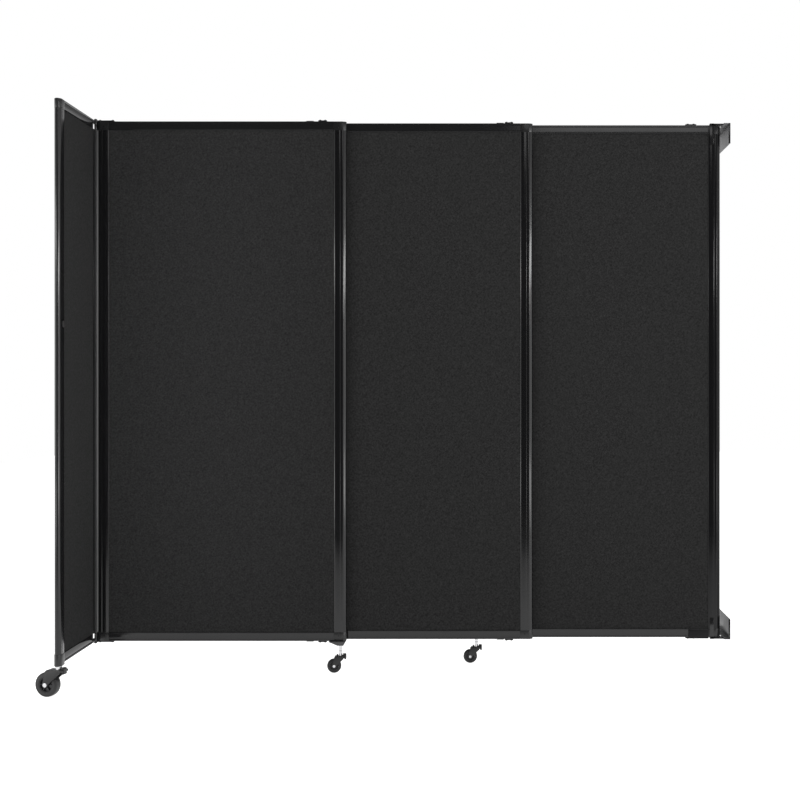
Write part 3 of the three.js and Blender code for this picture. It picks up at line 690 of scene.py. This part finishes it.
def makeCover(key, panel):
    label = panel["label"]
    a, b = boxIn(panel, key + "_fabric_core")
    left, right = sorted((a.x / mm, b.x / mm))
    bottom, top = sorted((a.z / mm, b.z / mm))
    half = abs(a.y - b.y) / mm / 2
    xs, zs = spaced(left, right), spaced(bottom, top)
    outline = [(left, bottom), (right, bottom), (right, top), (left, top)]
    lowCut, highCut = panel["leftEnds"]
    cut = left
    if panel["turned"]:  # its corners leave room for the hinges
        cut = section["stile"] + cover["hingeRoom"]
        xs = sorted(set(xs + [cut]))
        zs = sorted(set(zs + [lowCut, highCut]))
        outline = [
            (cut, bottom), (right, bottom), (right, top), (cut, top),
            (cut, highCut), (left, highCut), (left, lowCut), (cut, lowCut),
        ]

    def keep(x, z):
        return x > cut or lowCut <= z <= highCut

    for side, word in ((-1, "Front"), (1, "Back")):
        shell = clothShell(xs, zs, side, half, keep)
        addToPanel(panel, label + "Cloth" + word, shell, feltCloth)
    inner = half - cover["cloth"] - cover["boardFit"]
    board = addToPanel(
        panel, label + "Board", prism([outline], -inner, inner, lambda x, z, y: (x, y, z)),
        capBlack, [key + "_fabric_core"],
    )


for key, panel in panels.items():
    makeCover(key, panel)
print("fabric made")


# corner caps over the ends of the stiles; the end panel's foot cap reaches lower, round
# the collar of its caster
capSize = {
    "skirt": 24.0, "stileEnd": 5.0, "inset": 0.2, "proud": 0.25, "edge": 0.9,
    "footDrop": 12.0, "footProud": 0.8, "footHole": 10.85,
}
half = section["thickness"] / 2
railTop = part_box("panel_1_top_rail")[1][2]
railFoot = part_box("panel_1_bottom_rail")[0][2]


def capOutline(grow):
    return [(section["stile"], half + grow), (section["stile"], -half - grow)] + noseArc(grow)


def makeCap(name, panel, swapped, low, high, holeAt=None):
    loops = [capOutline(capSize["proud"])]
    if holeAt:
        r = capSize["footHole"]
        loops = [capOutline(capSize["footProud"])]
        loops.append([(holeAt + x, y) for x, y in arc(0, 0, r, r, 0, 345, 23)])
    bm = roundSharp(prism(loops, low, high, alongZ), capSize["edge"], 50, 3)
    if swapped:
        shift = Matrix.Translation((panel["width"], 0, 0)) @ Matrix.Rotation(math.pi, 4, "Z")
        bm.transform(shift)
    addToPanel(panel, name, bm, capBlack)


def makeCaps(panel):
    reach = capSize["stileEnd"] + capSize["skirt"]
    for side, swapped in (("Left", False), ("Right", True)):
        if panel["turned"] and not swapped:
            continue
        name = panel["label"] + side
        top = (panel["height"] - capSize["stileEnd"] - capSize["skirt"],
               panel["height"] - capSize["inset"])
        makeCap(name + "TopCap", panel, swapped, *top)
        low, hole = capSize["inset"], None
        if panel["turned"]:
            low = capSize["stileEnd"] - capSize["footDrop"]
            across = panel["place"].inverted() @ middleOf("caster_1_stem")
            hole = panel["width"] - across.x / mm
        makeCap(name + "LowCap", panel, swapped, low, reach, hole)


for panel in panels.values():
    makeCaps(panel)

# blocks that close most of the end panel's corners beside its hinge arms
cornerBlock = {"inset": 12.4, "halfDepth": 8.2, "overlap": 1.0, "edge": 0.6}


def makeCornerBlocks(panel):
    c = cornerBlock
    across = (section["narrowStile"] - c["overlap"], section["stile"] + c["overlap"])
    low, high = panel["leftEnds"]
    for word, z in (("Top", (high, panel["height"] - c["inset"])), ("Low", (c["inset"], low))):
        bm = bmesh.new()
        addBlock(bm, across, (-c["halfDepth"], c["halfDepth"]), z, c["edge"])
        addToPanel(panel, panel["label"] + word + "Corner", bm, capBlack)


makeCornerBlocks(panels["end_panel"])
print("caps made")

# hardware on the rails, from the CAD solids with their edges rounded; each is cut off
# at its own height over the rail, where its plain screw heads start
hardware = {"edge": 0.5, "pinEdge": 0.45, "slide": 4.02, "bracket": 3.82, "arm": -0.38}
homeOf = {}
for body, owned in frame["record"]["behaviour"]["bodies"].items():
    for node in owned:
        homeOf[node] = body


def addSoft(node, material, edge, rise=None):
    level = ()
    if rise is not None:
        level = (railTop + rise * mm, 1) if "top" in node else (railFoot - rise * mm, -1)
    mesh = softened(node, node + "Soft", edge, *level)
    addPiece(mesh.name, mesh, material, homeOf[node], [node])


slideNodes = [
    "panel_1_%s_carriage", "panel_2_%s_carriage", "panel_2_%s_guide",
    "panel_3_%s_guide", "panel_3_%s_stop",
]
for pattern in slideNodes:
    for end in ("top", "bottom"):
        node = pattern % end
        black = bumperBlack if node == "panel_3_bottom_stop" else nylonBlack
        addSoft(node, black, hardware["edge"], hardware["slide"])
for end in ("top", "bottom"):
    addSoft("hinge_bracket_" + end, paintBlack, hardware["edge"], hardware["bracket"])
    addSoft("hinge_arm_" + end, paintBlack, hardware["edge"], hardware["arm"])
    addSoft("hinge_pin_" + end, paintBlack, hardware["pinEdge"])

# the seal is a ribbed strip on the pivot line
seal = {"steps": 48, "each": 4, "grooveDepth": 0.35}


def makeSeal():
    low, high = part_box("hinge_seal")
    x, y = (low[0] + high[0]) / 2 / mm, (low[1] + high[1]) / 2 / mm
    radius = (high[0] - low[0]) / 2 / mm
    outline = []
    for i in range(seal["steps"]):
        a = 2 * math.pi * i / seal["steps"]
        r = radius - (seal["grooveDepth"] if i % seal["each"] == 0 else 0.0)
        outline.append((x + r * math.cos(a), y + r * math.sin(a)))
    mesh = newMesh(prism([outline], low[2] / mm, high[2] / mm, alongZ), "pivotSeal")
    addPiece(
        mesh.name, mesh, wheelRubber, "end_panel", ["hinge_seal"],
        place=Matrix.Identity(4),
    )


makeSeal()

# wall brackets: a pale angle (the lower one given a darker grey as painted shade), a dark tongue
# over the post, a clip on the post's face and a dark lip along the plate's near edge
bracket = {
    "flange": 22.0, "flangeThick": 4.0, "plateThick": 3.0, "height": 68.0, "seat": 0.3,
    "tongue": 34.0, "front": 19.0, "back": 16.0,
    "tenonHalf": 8.5, "tenonDrop": 4.7, "tenonInset": 4.0,
    "clipWidth": 14.0, "clipDrop": 66.0, "clipThick": 2.0, "clipGap": 0.3,
    "lip": 6.5, "lipWidth": (-0.3, 2.2), "topLipAt": -29.0,
}


def makeBracket(end):
    node = "wall_bracket_" + end
    upper = end == "top"
    panel = panels["panel_3"]
    a, b = boxIn(panel, node)
    wall = b.x / mm
    y = (a.y / mm, b.y / mm)
    width = panel["width"]
    bk = bracket
    seat = bk["seat"]
    top = seat + bk["flangeThick"]

    def rise(*values):
        return [panel["height"] + v if upper else -v for v in values]

    pale = bmesh.new()
    addBlock(pale, (wall - bk["flange"], wall), y, rise(seat, top))
    addBlock(pale, (wall - bk["plateThick"], wall), y, rise(top - bk["height"], top))
    # painted shade: the lower angle is the same part as the upper one, but takes the darker wedge
    # grey
    angleGreyShadedBelow = plateGrey if upper else wedgeGreyAndAngleShade
    addToPanel(panel, end + "WallAngle", pale, angleGreyShadedBelow, [node])
    dark = bmesh.new()
    tongue = width - bk["tongue"]
    depth = (-bk["front"], bk["back"])
    addBlock(dark, (tongue, wall - bk["flange"] + 1), depth, rise(seat, top - 0.05), 0.6)
    tenon = (tongue + 1, width - bk["tenonInset"])
    thick = (-bk["tenonHalf"], bk["tenonHalf"])
    addBlock(dark, tenon, thick, rise(-bk["tenonDrop"], seat + 1), 0.4)
    near = bk["topLipAt"] if upper else y[0]
    lipDepth = [near + v for v in bk["lipWidth"]]
    lipRise = rise(top - bk["height"] + 0.2, top - 0.3)
    addBlock(dark, (wall - bk["lip"], wall - 0.05), lipDepth, lipRise, 0.4)
    clip = (tongue - 2, tongue - 2 + bk["clipWidth"])
    face = -half - bk["clipGap"]
    addBlock(dark, clip, (face - bk["clipThick"], face), rise(top - 0.1, -bk["clipDrop"]))
    addBlock(dark, clip, (-bk["front"], 0), rise(seat + 0.1, top + 0.35))
    addToPanel(panel, end + "WallTongue", dark, paintBlack)


makeBracket("top")
makeBracket("bottom")
for node in ("caster_2_outrigger", "caster_3_outrigger"):
    addSoft(node, wedgeGreyAndAngleShade, 0.7)


# the catch is a shallow dish with a raised rim
def makeCatch():
    low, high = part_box("end_panel_catch")
    centre = (low[0] / mm, (low[1] + high[1]) / 2 / mm, (low[2] + high[2]) / 2 / mm)
    r = (high[2] - low[2]) / 2 / mm
    t = (high[0] - low[0]) / mm
    profile = [
        (0, 0), (r - 0.2, 0), (r, 0.3), (r - 0.3, t),
        (r - 1.4, t + 0.4), (r - 2.6, t), (r - 3.2, 0.5), (0, 0.4),
    ]
    bm = addTurned(bmesh.new(), profile, 40, lambda p, q, c: (c, p, q), centre)
    addPiece("endCatch", newMesh(bm, "endCatch"), nylonBlack, "end_panel",
             ["end_panel_catch"], place=Matrix.Identity(4))


makeCatch()
print("hardware made")


# screws: one head with a crossed recess, copied onto points by geometry nodes
screwLook = {
    "radius": 4.2, "height": 2.7, "slot": 1.1, "slotDepth": 1.4, "seed": 7,
    "rimShare": 0.55,  # of the height; the rest is the crown
}


def makeScrewField():
    group = bpy.data.node_groups.new("screwField", "GeometryNodeTree")
    group.interface.new_socket("Geometry", in_out="INPUT", socket_type="NodeSocketGeometry")
    for label in ("Radius", "Height", "Slot", "Slot Depth"):
        group.interface.new_socket(label, in_out="INPUT", socket_type=floatKind)
    group.interface.new_socket("Seed", in_out="INPUT", socket_type="NodeSocketInt")
    group.interface.new_socket("Material", in_out="INPUT", socket_type="NodeSocketMaterial")
    group.interface.new_socket("Geometry", in_out="OUTPUT", socket_type="NodeSocketGeometry")
    given = group.nodes.new("NodeGroupInput")
    out = group.nodes.new("NodeGroupOutput")
    link = group.links.new

    def node(kind, **inputs):
        made = group.nodes.new(kind)
        for label, value in inputs.items():
            feed(group, made.inputs[label.replace("_", " ")], value)
        return made

    def xyz(x, y, z):
        made = group.nodes.new("ShaderNodeCombineXYZ")
        for socket, value in zip(made.inputs, (x, y, z)):
            feed(group, socket, value)
        return made.outputs[0]

    def moved(geometry, offset):
        made = node("GeometryNodeTransform", Geometry=geometry, Translation=offset)
        return made.outputs["Geometry"]

    radius = given.outputs["Radius"]
    height = given.outputs["Height"]
    parts = []
    rim = screwLook["rimShare"]
    for share, bottom, top in ((rim, 1.0, 0.93), (1.0 - rim, 0.93, 0.7)):
        cone = node("GeometryNodeMeshCone", Vertices=28, Radius_Top=times(group, radius, top),
                    Radius_Bottom=times(group, radius, bottom), Depth=times(group, height, share))
        lift = times(group, height, rim) if parts else 0.0
        parts.append(moved(cone.outputs["Mesh"], xyz(0.0, 0.0, lift)))
    head = group.nodes.new("GeometryNodeMeshBoolean")
    head.operation = "UNION"
    link(parts[0], head.inputs["Mesh 2"])
    link(parts[1], head.inputs["Mesh 2"])
    cutter = group.nodes.new("GeometryNodeMeshBoolean")
    cutter.operation = "DIFFERENCE"
    link(head.outputs["Mesh"], cutter.inputs["Mesh 1"])
    long = times(group, radius, 1.15)
    slot = given.outputs["Slot"]
    deep = times(group, given.outputs["Slot Depth"], 2.0)
    for size in (xyz(long, slot, deep), xyz(slot, long, deep)):
        cube = node("GeometryNodeMeshCube", Size=size)
        link(moved(cube.outputs["Mesh"], xyz(0.0, 0.0, height)), cutter.inputs["Mesh 2"])
    spin = node("FunctionNodeRandomValue", Seed=given.outputs["Seed"])
    spin.data_type = "FLOAT"
    turned = xyz(0.0, 0.0, times(group, spin.outputs[1], math.pi))
    placed = group.nodes.new("GeometryNodeInstanceOnPoints")
    link(given.outputs["Geometry"], placed.inputs["Points"])
    link(cutter.outputs["Mesh"], placed.inputs["Instance"])
    link(turned, placed.inputs["Rotation"])
    real = node("GeometryNodeRealizeInstances", Geometry=placed.outputs["Instances"])
    painted = node("GeometryNodeSetMaterial", Geometry=real.outputs["Geometry"],
                   Material=given.outputs["Material"])
    link(painted.outputs["Geometry"], out.inputs["Geometry"])
    return group


screwField = makeScrewField()


# groups are pairs of points and the turn that their heads stand at
def placeScrews(name, body, groups, size=1.0):
    joined = bmesh.new()
    for points, spin in groups:
        mesh = bpy.data.meshes.new(name + "Points")
        turnBack = spin.inverted()
        mesh.from_pydata([tuple(turnBack @ Vector(point)) for point in points], [], [])
        obj = bpy.data.objects.new(name + "Points", mesh)
        bpy.context.collection.objects.link(obj)
        modifier = obj.modifiers.new("screws", "NODES")
        modifier.node_group = screwField
        values = {
            "Radius": screwLook["radius"] * size * mm,
            "Height": screwLook["height"] * size * mm,
            "Slot": screwLook["slot"] * size * mm,
            "Slot Depth": screwLook["slotDepth"] * size * mm,
            "Seed": screwLook["seed"],
            "Material": paintBlack,
        }
        for item in screwField.interface.items_tree:
            if item.in_out == "INPUT" and item.name in values:
                modifier[item.identifier] = values[item.name]
        obj.update_tag()
        graph = bpy.context.evaluated_depsgraph_get()
        made = bpy.data.meshes.new_from_object(obj.evaluated_get(graph), depsgraph=graph)
        made.transform(spin)
        joined.from_mesh(made)
        obj.modifiers.remove(modifier)
        bpy.data.objects.remove(obj)
        bpy.data.meshes.remove(made)
    addPiece(name, newMesh(joined, name), paintBlack, body, smoothAngle=25)


upward = Matrix.Identity(4)
downward = Matrix.Rotation(math.pi, 4, "X")
frontward = Matrix.Rotation(math.pi / 2, 4, "X")
backward = Matrix.Rotation(-math.pi / 2, 4, "X")
screwRows = {  # place along the rail, and height over it
    "panel_1": [(742.5, 4.0), (759.5, 4.0), (10.0, 3.8), (52.0, 3.8)],
    "panel_2": [(742.5, 4.0), (759.5, 4.0), (88.0, 4.0)],
    "panel_3": [(88.0, 4.0), (721.5, 4.0), (741.5, 4.0), (805.0, 4.25), (825.0, 4.25)],
    "end_panel": [(14.0, -0.42), (54.0, -0.42)],
}
for key, rows in screwRows.items():
    panel = panels[key]
    tops = [panel["place"] @ (Vector((x, 0, panel["height"] + rise)) * mm) for x, rise in rows]
    lows = [panel["place"] @ (Vector((x, 0, -rise)) * mm) for x, rise in rows]
    placeScrews(panel["label"] + "RailScrews", panel["body"], [(tops, upward), (lows, downward)])

# small screws that hold the corner caps, on the front and on the back
capScrews = {"inset": 26.0, "drop": 17.0, "size": 0.5, "sunk": 0.05}
for panel in panels.values():
    if panel["turned"]:
        continue
    faces = []
    for sign, spin in ((-1, frontward), (1, backward)):
        points = []
        for x in (capScrews["inset"], panel["width"] - capScrews["inset"]):
            for z in (capScrews["drop"], panel["height"] - capScrews["drop"]):
                away = sign * (half + capSize["proud"] - capScrews["sunk"])
                points.append(panel["place"] @ (Vector((x, away, z)) * mm))
        faces.append((points, spin))
    placeScrews(panel["label"] + "CapScrews", panel["body"], faces, capScrews["size"])
print("screws made")

# casters
smallCaster = {
    "radius": 23.5, "width": 19.0, "stem": 4.5, "collar": 5.6, "hub": 15.0, "web": 6.5,
    "axle": 3.0, "bolt": 4.5, "spokes": 5, "seat": -12.9,  # of the collar's top, from the rail
}
casters = {
    1: {
        "radius": 38.0, "width": 28.0, "stem": 5.5, "collar": 10.5, "hub": 24.0, "web": 10.0,
        "axle": 4.0, "bolt": 6.5, "spokes": 6, "seat": 4.7,
    },
    2: smallCaster,
    3: smallCaster,
}
casterParts = {
    "headRise": 3.9,  # of the stem's head over the stem's foot
    "ribHalf": 1.1, "ribEdge": 0.4, "forkEdge": 0.6, "pedalEdge": 0.7, "forkReach": 4.1,
}


def wheelPlace(number):
    hub = middleOf("caster_%d_hub" % number)
    stem = middleOf("caster_%d_stem" % number)
    away = math.atan2(hub.y - stem.y, hub.x - stem.x)
    return Matrix.Translation(hub) @ Matrix.Rotation(away, 4, "Z")


def tyreProfile(c):
    w = c["width"] / 2 - 1
    r = c["radius"]
    inner = c["hub"] + 0.3
    side = [(inner, -w), (inner + 1.2, -w), (r - 6, -w), (r - 5.2, -w + 0.5), (r - 4.4, -w)]
    turns = [math.radians(15 * i) for i in range(1, 7)]
    shoulder = [(r - 4 + 3.6 * math.sin(a), -w + 4 - 4 * math.cos(a)) for a in turns]
    first = side + shoulder + [(r - 0.1, -w * 0.4), (r, -w * 0.2)]
    return first + mirrored(first) + [(inner, -w)]


def hubProfile(c):
    w = c["width"] / 2
    bore = c["axle"] + 0.4
    boss = bore + 3
    rim = c["hub"] - 3
    web = c["web"] / 2
    end = w - 2
    first = [
        (bore, -w), (boss - 0.6, -w), (boss, -w + 0.6), (boss + 0.8, -web - 0.8), (boss + 2, -web),
        (rim - 1.5, -web), (rim, -web - 1.5), (rim, -end + 0.5), (rim + 0.5, -end),
        (c["hub"] - 0.6, -end), (c["hub"], -end + 0.6),
    ]
    return first + mirrored(first) + [(bore, -w)]


def axleProfile(c):
    grip = c["width"] / 2 + casterParts["forkReach"]
    bolt = c["bolt"]
    first = [
        (0, -grip - 2.5), (bolt * 0.45, -grip - 2.4), (bolt * 0.8, -grip - 2.0),
        (bolt, -grip - 1.1), (bolt, -grip - 0.3), (bolt - 0.3, -grip), (c["axle"], -grip),
    ]
    return first + mirrored(first)


def stemProfile(c, foot, head, seat, top):
    s = c["stem"]
    k = c["collar"]
    waist = (head + seat) / 2
    return [
        (0, foot), (s - 0.4, foot), (s, foot + 0.4), (s, head), (k - 0.7, head),
        (k, head + 0.7), (k, waist - 0.8), (k - 0.6, waist), (k, waist + 0.8),
        (k, seat - 0.7), (k - 0.7, seat), (s, seat), (s, top - 1), (s - 1, top), (0, top),
    ]


def makeRibs(c):
    ribs = bmesh.new()
    half = casterParts["ribHalf"]
    for i in range(c["spokes"]):
        rib = bmesh.new()
        for sign in (-1, 1):
            depth = (sign * (c["web"] / 2 - 0.5), sign * (c["width"] / 2 - 3.0))
            reach = (c["axle"] + 3.0, c["hub"] - 3.2)
            addBlock(rib, reach, depth, (-half, half), casterParts["ribEdge"])
        rib.transform(Matrix.Rotation(2 * math.pi * i / c["spokes"], 4, "Y"))
        spare = newMesh(rib, "rib")
        ribs.from_mesh(spare)
        bpy.data.meshes.remove(spare)
    return ribs


def makeStem(c, node):
    low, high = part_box(node)
    foot = low[2] / mm
    seat = railFoot / mm + c["seat"]
    profile = stemProfile(c, foot, foot + casterParts["headRise"], seat, high[2] / mm)
    stem = addTurned(bmesh.new(), profile, 40, lambda p, q, h: (p, q, h))
    spot = middleOf(node)
    stem.transform(Matrix.Translation((spot.x / mm, spot.y / mm, 0)))
    return stem


def makeCaster(number, c):
    node = "caster_%d_" % number
    wheel = homeOf[node + "tyre"]
    place = wheelPlace(number)

    def add(part, bm, material, body, replaced=(), place=place):
        name = "caster%d%s" % (number, part)
        addPiece(name, newMesh(bm, name), material, body, replaced, place=place)

    tyre = addTurned(bmesh.new(), tyreProfile(c), 96)
    bmesh.ops.remove_doubles(tyre, verts=tyre.verts[:], dist=0.001)
    add("Tyre", tyre, wheelRubber, wheel, [node + "tyre"])
    hub = addTurned(bmesh.new(), hubProfile(c), 72)
    bmesh.ops.remove_doubles(hub, verts=hub.verts[:], dist=0.001)
    add("Hub", hub, hubGrey, wheel, [node + "hub"])
    add("Ribs", makeRibs(c), hubGrey, wheel)
    axle = addTurned(bmesh.new(), axleProfile(c), 40)
    add("Axle", axle, zinc, homeOf[node + "axle"], [node + "axle"])
    stem = makeStem(c, node + "stem")
    add("Stem", stem, chrome, homeOf[node + "stem"], [node + "stem"], Matrix.Identity(4))
    for part, word, edge in (("fork", "Fork", "forkEdge"), ("brake_pedal", "Pedal", "pedalEdge")):
        mesh = softened(node + part, "caster%d%s" % (number, word), casterParts[edge])
        addPiece(mesh.name, mesh, nylonBlack, homeOf[node + part], [node + part])


for number, c in casters.items():
    makeCaster(number, c)
print("casters made")


# stage: a pale floor, and a card beside the last post that only gloss sees
stageLook = {
    "floor": (0.85, 0.85, 0.85),
    "glow": 0.84,
    "left": -6.5,
    "right": 3.6,
    "front": -3.1,
    "back": 14.0,
    # how bright gloss sees the floor, from front to back
    "glossStops": [
        (-3.1, 0.04), (-2.3, 0.09), (-1.55, 0.23), (-1.36, 0.42),
        (-0.8, 0.55), (0.1, 0.55), (0.8, 0.13), (3.0, 0.12),
    ],
}
cardLook = {"glow": 0.75, "x": 0.002, "front": -0.13, "back": 0.12, "top": 2.1}
floorTop = min(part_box("caster_%d_tyre" % n)[0][2] for n in casters)


def ramp(tree, value, stops):
    node = tree.nodes.new("ShaderNodeValToRGB")
    node.color_ramp.interpolation = "EASE"
    low, high = stops[0][0], stops[-1][0]
    place = tree.nodes.new("ShaderNodeMapRange")
    place.inputs["From Min"].default_value = low
    place.inputs["From Max"].default_value = high
    tree.links.new(value, place.inputs["Value"])
    tree.links.new(place.outputs["Result"], node.inputs["Fac"])
    marks = node.color_ramp.elements
    while len(marks) < len(stops):
        marks.new(0.5)
    for mark, (at, level) in zip(marks, stops):
        mark.position = (at - low) / (high - low)
        mark.color = (level, level, level, 1)
    return node.outputs["Color"]


# one flat sheet of the stage, its corners in metres
def addStage(name, finish, corners):
    bm = bmesh.new()
    bm.faces.new([bm.verts.new(corner) for corner in corners])
    obj = bpy.data.objects.new(name, newMesh(bm, name))
    bpy.context.collection.objects.link(obj)
    material, tree, shader, place = startMaterial(finish, 0.9)
    shader.inputs["Emission Color"].default_value = (1, 1, 1, 1)
    obj.data.materials.append(material)
    return obj, tree, shader, place


def makeFloor():
    look = stageLook
    floor, tree, shader, place = addStage("floor", "paleFloor", [
        (look["left"], look["front"], floorTop), (look["right"], look["front"], floorTop),
        (look["right"], look["back"], floorTop), (look["left"], look["back"], floorTop),
    ])
    shader.inputs["Base Color"].default_value = (*look["floor"], 1)
    shader.inputs["Specular IOR Level"].default_value = 0.0
    path = tree.nodes.new("ShaderNodeLightPath")
    split = tree.nodes.new("ShaderNodeSeparateXYZ")
    tree.links.new(place, split.inputs[0])
    sheen = ramp(tree, split.outputs["Y"], look["glossStops"])
    inGloss = times(tree, path.outputs["Is Glossy Ray"], sheen)
    seen = times(tree, path.outputs["Is Camera Ray"], look["glow"])
    glow = plus(tree, inGloss, seen)
    tree.links.new(glow, shader.inputs["Emission Strength"])


def makeCard():
    x, front, back, top = (cardLook[word] for word in ("x", "front", "back", "top"))
    card, _, shader, _ = addStage("sideCard", "sideCard", [
        (x, front, floorTop), (x, back, floorTop), (x, back, top), (x, front, top),
    ])
    shader.inputs["Base Color"].default_value = (0, 0, 0, 1)
    shader.inputs["Emission Strength"].default_value = cardLook["glow"]
    for ray in ("camera", "diffuse", "shadow", "transmission"):
        setattr(card, "visible_" + ray, False)


makeFloor()
makeCard()

# light: around and height are how bright gloss sees the room, from front to back and
# from below to above
lightLook = {
    "world": 0.87,
    "aroundStops": [
        (-1.0, 0.035), (-0.84, 0.04), (-0.76, 1.0), (-0.6, 1.5), (0.1, 1.7), (0.5, 1.1), (1.0, 1.1),
    ],
    "heightStops": [
        (-1.0, 0.2), (-0.25, 0.6), (-0.06, 1.0), (0.1, 1.0), (0.17, 0.55), (0.3, 0.15), (1.0, 0.03),
    ],
    "lamps": [
        {"name": "rightHigh", "place": (2.3, -2.65, 1.557), "turn": (90, 0, 90),
         "size": (3.5, 0.26), "power": 27},
        {"name": "rightLow", "place": (2.3, -2.55, 0.177), "turn": (90, 0, 90),
         "size": (2.5, 0.34), "power": 9},
        {"name": "leftHigh", "place": (-4.3, -2.4, 1.557), "turn": (90, 0, -90),
         "size": (3.5, 0.26), "power": 14},
        {"name": "leftLow", "place": (-4.3, -2.4, 0.177), "turn": (90, 0, -90),
         "size": (3.0, 0.34), "power": 9},
        {"name": "endWash", "place": (0.24, -2.2, 0.85), "turn": (90, 0, 51.4),
         "size": (0.3, 1.7), "power": 2.4, "spread": 30, "inGloss": False},
        {"name": "highFront", "place": (0.05, -3.16, 2.6), "turn": (62, 0, 0),
         "size": (1.3, 1.0), "power": 6.5},
    ],
}


def makeWorld():
    world = bpy.data.worlds.new("studio")
    world.use_nodes = True
    bpy.context.scene.world = world
    tree = world.node_tree
    background = tree.nodes["Background"]
    path = tree.nodes.new("ShaderNodeLightPath")
    direction = tree.nodes.new("ShaderNodeTexCoord").outputs["Generated"]
    split = tree.nodes.new("ShaderNodeSeparateXYZ")
    tree.links.new(direction, split.inputs[0])
    around = ramp(tree, split.outputs["Y"], lightLook["aroundStops"])
    level = ramp(tree, split.outputs["Z"], lightLook["heightStops"])
    room = times(tree, around, level)
    inView = path.outputs["Is Camera Ray"]
    through = path.outputs["Is Transmission Ray"]
    seen = mathNode(tree, "MAXIMUM", path.outputs["Is Glossy Ray"], through)
    glossPart = times(tree, seen, room)
    other = mathNode(tree, "SUBTRACT", 1.0, mathNode(tree, "MAXIMUM", seen, inView))
    plain = times(tree, other, lightLook["world"])
    total = plus(tree, plus(tree, glossPart, plain), inView)
    background.inputs["Color"].default_value = (1, 1, 1, 1)
    tree.links.new(total, background.inputs["Strength"])


def makeLamps():
    for lamp in lightLook["lamps"]:
        data = bpy.data.lights.new(lamp["name"], "AREA")
        data.shape = "RECTANGLE"
        data.size, data.size_y = lamp["size"]
        data.energy = lamp["power"]
        data.spread = math.radians(lamp.get("spread", 180))
        obj = bpy.data.objects.new(lamp["name"], data)
        obj.location = lamp["place"]
        obj.rotation_euler = [math.radians(a) for a in lamp["turn"]]
        obj.visible_glossy = lamp.get("inGloss", True)
        bpy.context.collection.objects.link(obj)


makeWorld()
makeLamps()
print("stage and light made")
